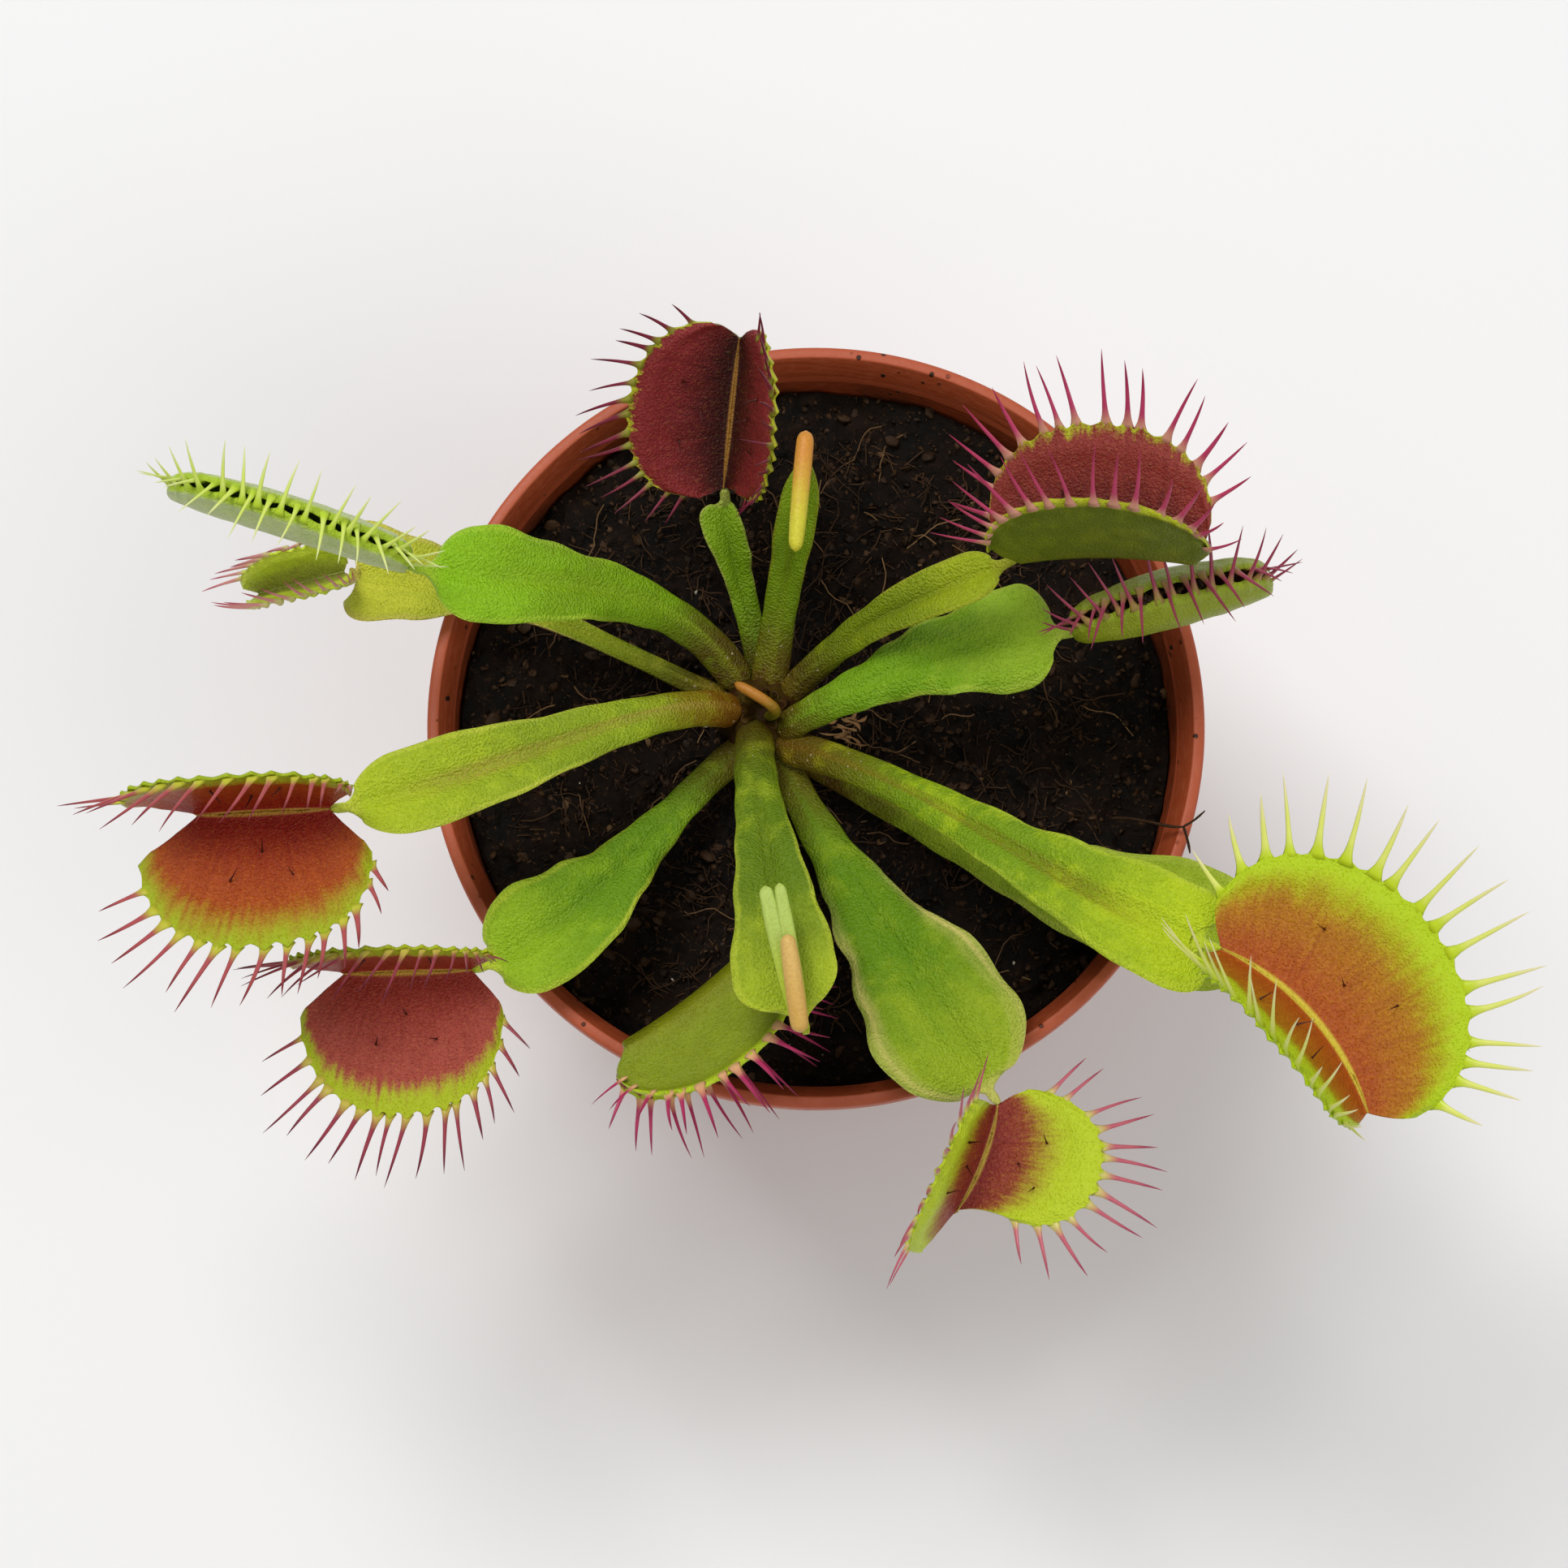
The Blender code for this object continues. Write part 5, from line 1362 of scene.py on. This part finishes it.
# a rod along a cubic curve, with half widths read along it and rounded ends
def sweepRod(curve, wide, deep, caps=(0.1, 0.1), rows=40, around=20, upright=(0, 0, 1), furrow=0.0):
    points, marks = [], []
    for row in range(rows):
        t = row / (rows - 1)
        place, way = bezier(curve, t)
        side = Vector(upright).cross(way).normalized()
        up = way.cross(side)
        cap = math.sqrt(max(0.003, 1 - max(0, 1 - t / caps[0]) ** 2))
        cap *= math.sqrt(max(0.003, 1 - max(0, 1 - (1 - t) / caps[1]) ** 2))
        for k in range(around):
            angle = 2 * math.pi * k / around
            across, high = math.cos(angle), math.sin(angle)
            dip = 1 - furrow * math.exp(-((across / 0.4) ** 2)) * (high > 0)
            offset = side * across * easedValue(wide, t) * cap + up * high * easedValue(deep, t) * cap * dip
            points.append(list(place + offset))
            marks.append((t, across, high))
    return points, loftFaces(rows, around) + lidFaces(rows, around), marks


def makeRods(name, rods, material, slot, replaced=()):  # several rods as one piece
    points, faces, marks = [], [], []
    for rod in rods:
        morePoints, moreFaces, moreMarks = sweepRod(**rod)
        faces += [tuple(k + len(points) for k in face) for face in facesOut(np.array(morePoints), moreFaces)]
        points += morePoints
        marks += moreMarks
    makePiece(name, points, faces, material, slot, replaced, {"pod": marks})


def bowed(start, end, rise=0.0):  # a cubic curve that bows upwards between two points
    start, end = Vector(start), Vector(end)
    lift = Vector((0, 0, rise))
    return start, start.lerp(end, 0.33) + lift, start.lerp(end, 0.67) + lift, end


def makeYoungTrap(name, young):
    start, end, half = young["rod"]
    wide = (half, half * 1.05, half, half * 0.85)
    rod = dict(curve=bowed(start, end, 0.5), wide=wide, deep=(half,) * 4, around=28)
    material = makePodMaterial(f"pod_{name}", young["rodTones"])
    makeRods(f"pod_{name}", [rod], material, "trap_green", [f"young_trap_{name}"])
    strips = []
    for start, end, half, deep in young.get("strips", ()):
        wide = (half * 0.7, half, half, half * 0.8)
        strip = dict(curve=bowed(start, end, 0.7), wide=wide, deep=(deep,) * 4)
        strips.append({**strip, "caps": (0.05, 0.07), "furrow": 0.35})
    if strips:
        material = makePodMaterial(f"podLobes_{name}", young["stripTones"])
        makeRods(f"podLobes_{name}", strips, material, "trap_green")


frameSlots = {part["node"]: part["material_slot"] for part in frame["record"]["subparts"]}
hairMaterial = makeToothMaterial("triggerHair", ((70, 22, 12), (58, 18, 14), (40, 10, 10)))
draw = random.Random(7)
for name, leaf in leaves.items():
    makeStalk(name, leaf, draw)
    if "young" in leaf:
        makeYoungTrap(name, leaf["young"])
        continue
    trap, slot, frames = leaf["trap"], frameSlots[f"trap_{name}"], midribFrames(leaf)
    places = {sign: toothPlaces(trap, sign, draw) for sign in (1, -1)}
    makeLobes(name, trap, frames, places, slot)
    makeTeeth(name, trap, frames, places, draw)
    if trap.get("hairs", True):
        makeTriggerHairs(name, trap, frames, draw)
print("leaves made")

crownLook = {
    "rim": 2.4, "hollow": 2.6, "scales": 11,
    "outside": 0.62,  # share of the rings outside the hollow
    "rimTurn": 0.38,  # polar angle of the rim
    "rings": 40, "around": 96,
    "dark": tone(20, 11, 5), "brown": tone(78, 62, 12), "red": tone(74, 42, 14), "grit": tone(24, 14, 8),
}


def makeCrownMaterial():
    look = crownLook
    material, tree, shader = startMaterial("rhizome", Specular_IOR_Level=0.08)
    place = objectPlace(tree)
    mottle = cloud(place, 600.0, 4.0, 0.6)
    colour = blendTones(fade(mottle, 0.35, 0.65), look["brown"], look["red"])
    top = (crownPlace["level"] + crownPlace["dome"]) * mm
    shade = fade(splitVector(place)[2], top - 4.5 * mm, top - 1.0 * mm, 0.9, 0.4)
    colour = blendTones(shade, colour, look["dark"])
    grit = addGroup(tree, gritGroup, {"Place": place, "Size": 0.0006, "Amount": 0.3})["Grains"]
    colour = blendTones(grit, colour, look["grit"])
    roughness = fade(mottle, 0.3, 0.7, 0.5, 0.75)
    connect(shader, Base_Color=colour, Roughness=roughness, Normal=bump(mottle, 0.0004))
    return material


def makeCrown():  # a dome of overlapping leaf bases round a small hollow
    c, look = crownPlace, crownLook
    brim = c["level"] + c["dome"] * math.cos(look["rimTurn"])
    points = []
    for ring in range(look["rings"]):
        t = ring / (look["rings"] - 1)
        inward = max(0, t - look["outside"]) / (1 - look["outside"])
        for k in range(look["around"]):
            angle = 2 * math.pi * k / look["around"]
            if t < look["outside"]:
                polar = math.radians(96 - 150 * t)
                radius = max(look["rim"], c["radius"] * math.sin(polar)) if polar > 0 else look["rim"]
                height = c["level"] + c["dome"] * math.cos(max(polar, look["rimTurn"]))
            else:
                radius = look["rim"] * (1 - inward) + 0.05
                height = brim - look["hollow"] * step(inward, 0, 0.8)
            scale = 0.28 * math.sin(look["scales"] * angle + 9 * t) * min(1, radius / 2)
            spot = Vector((radius * math.cos(angle), radius * math.sin(angle), height))
            lump = 0.35 * noise.noise(spot * 0.9)
            radius += (scale + lump) * (1 - inward)
            x, y = c["x"] + radius * math.cos(angle), c["y"] + radius * math.sin(angle)
            points.append((x, y, height + 0.4 * lump))
    floor = c["level"] - c["depth"] + 0.3
    base = []
    for x, y, _ in points[:look["around"]]:
        base.append((c["x"] + (x - c["x"]) * 0.7, c["y"] + (y - c["y"]) * 0.7, floor))
    rows = look["rings"] + 1
    faces = loftFaces(rows, look["around"]) + lidFaces(rows, look["around"])
    makePiece("rhizomeCrown", base + points, faces, makeCrownMaterial(), "rhizome", ["crown"])


bud = {
    "hook": ((0.4, -0.4, -2.6), (2.9, -1.5, 4.4), (0.9, -0.2, 4.9), (-3.0, 1.9, 3.9)),  # from the crown's top
    "wide": (0.55, 0.62, 0.72, 0.78, 0.72), "deep": (0.55, 0.58, 0.62, 0.66, 0.6),
    "upright": (0.4, 1, 0.1), "furrow": 0.25,
    "tones": ((116, 112, 16), (176, 116, 40)),
}


def makeBud():
    seat = crownSeat(0, 0)[0]
    rod = {label: bud[label] for label in ("wide", "deep", "upright", "furrow")}
    rod["curve"] = [seat + Vector(offset) for offset in bud["hook"]]
    makeRods("newShoot", [rod], makePodMaterial("newShoot", bud["tones"]), "rhizome", ["bud"])


makeCrown()
makeBud()
print("crown made")

twig = (  # the stem and two forks: a cubic curve's corners, and the half width
    (((32.4, -9.0, 60.6), (36.0, -9.2, 64.2), (38.6, -11.4, 66.6), (40.6, -10.6, 66.0)), 0.20),
    (((40.2, -10.7, 66.1), (41.2, -10.2, 66.0), (41.8, -9.6, 66.0), (42.6, -8.8, 65.8)), 0.15),
    (((40.2, -10.7, 66.0), (40.6, -11.6, 65.8), (40.9, -12.8, 65.6), (41.0, -13.6, 65.5)), 0.17),
)


def makeTwig():
    rods = []
    for line, half in twig:
        curve = [Vector(corner) for corner in line]
        wide = (half, half * 0.8, half * 0.9, half * 0.5)
        rods.append(dict(curve=curve, wide=wide, deep=(half * 0.8,) * 3, rows=30, around=8))
    makeRods("dryTwig", rods, makeCrumbMaterial("dryTwig", (46, 28, 14), (118, 84, 48), 0.7), "soil")


def makeHusks(draw):
    husks = []
    for _ in range(16):
        start = Vector((draw.uniform(0.2, 4.0), draw.uniform(-0.6, 2.2), 0))
        start.z = soilHeight(start.x, start.y) + 0.7
        turn = draw.uniform(-0.7, 0.9)
        way = Vector((math.cos(turn), math.sin(turn), draw.uniform(-0.2, 0.3)))
        end = start + way * draw.uniform(1.2, 3.4)
        half = draw.uniform(0.08, 0.26)
        curve = list(bowed(start, end, draw.uniform(0.2, 1.2)))
        for k in (1, 2):
            curve[k] += Vector((draw.uniform(-0.9, 0.9), draw.uniform(-0.9, 0.9), 0))
        wide = (half * 0.4, half, half * 0.5, half, 0.05)
        husks.append(dict(curve=curve, wide=wide, deep=(0.05,) * 3, rows=18, around=8))
    makeRods("dryHusks", husks, makeCrumbMaterial("dryHusk", (130, 94, 56), (206, 176, 128), 0.65), "soil")


def makePrey():  # dark remains held along the seam of the closed trap
    leaf, count = leaves["right_mid"], 12
    spots = np.linspace(0.22, 0.62, count)
    rows = [lobePoints(leaf["trap"], midribFrames(leaf), sign, spots, (0.985,), -0.1)[0] for sign in (1, -1)]
    faces = [(k, k + 1, k + 1 + count, k + count) for k in range(count - 1)]
    source = makeSource("seam", np.concatenate(rows), faces)
    remains = (5200000.0, 0.0002, 0.0006, 0.8, 2, 5, crumbDark)
    growPiece("preyRemains", source, crumbTree, dict(zip(crumbLabels, remains)))
    bpy.data.objects.remove(source)


makeTwig()
makeHusks(random.Random(21))
makePrey()
print("scraps made")

stageLook = {
    "floor": tone(238, 238, 238), "world": 0.38,
    "lamps": {  # where each is, its size and its power
        "key": ((-0.34, 0.42, 1.12), 0.5, 9.2),
        "fill": ((0.65, -0.45, 0.9), 0.9, 4.2),
    },
    "distance": 600.0, "elevation": 78.0, "view": 171.3,
    "aim": (-3.3, -7.0, 0),  # from the middle of the pot's rim
}


def makeStage():
    bpy.ops.mesh.primitive_plane_add(size=6, location=(0, 0, -0.0002))
    floor = bpy.context.object
    floor.name = "floor"
    material = startMaterial("paleFloor", Roughness=0.85, Base_Color=stageLook["floor"])[0]
    floor.data.materials.append(material)
    world = bpy.data.worlds.new("studio")
    world.use_nodes = True
    background = world.node_tree.nodes["Background"].inputs
    background["Color"].default_value = (1, 1, 1, 1)
    background["Strength"].default_value = stageLook["world"]
    bpy.context.scene.world = world
    for name, (place, size, power) in stageLook["lamps"].items():
        lamp = bpy.data.lights.new(name, "AREA")
        lamp.size = size
        lamp.energy = power
        light = bpy.data.objects.new(name, lamp)
        light.location = place
        light.rotation_euler = (Vector((0, 0, 0.07)) - Vector(place)).to_track_quat("-Z", "Y").to_euler()
        bpy.context.scene.collection.objects.link(light)


def makeCamera():
    elevation = math.radians(stageLook["elevation"])
    rim = Vector((0, 0, potSizes["height"])) * mm
    lens = bpy.data.cameras.new("camera")
    lens.sensor_width = 36
    lens.lens = lens.sensor_width * stageLook["distance"] / stageLook["view"]
    lens.clip_start = 0.01
    camera = bpy.data.objects.new("camera", lens)
    back = Vector((0, -math.cos(elevation), math.sin(elevation)))
    camera.location = rim + back * stageLook["distance"] * mm
    aim = rim + Vector(stageLook["aim"]) * mm
    camera.rotation_euler = (aim - camera.location).to_track_quat("-Z", "Y").to_euler()
    bpy.context.scene.collection.objects.link(camera)
    bpy.context.scene.camera = camera
    bpy.context.scene.view_settings.view_transform = "Standard"


makeStage()
makeCamera()
print("stage made")
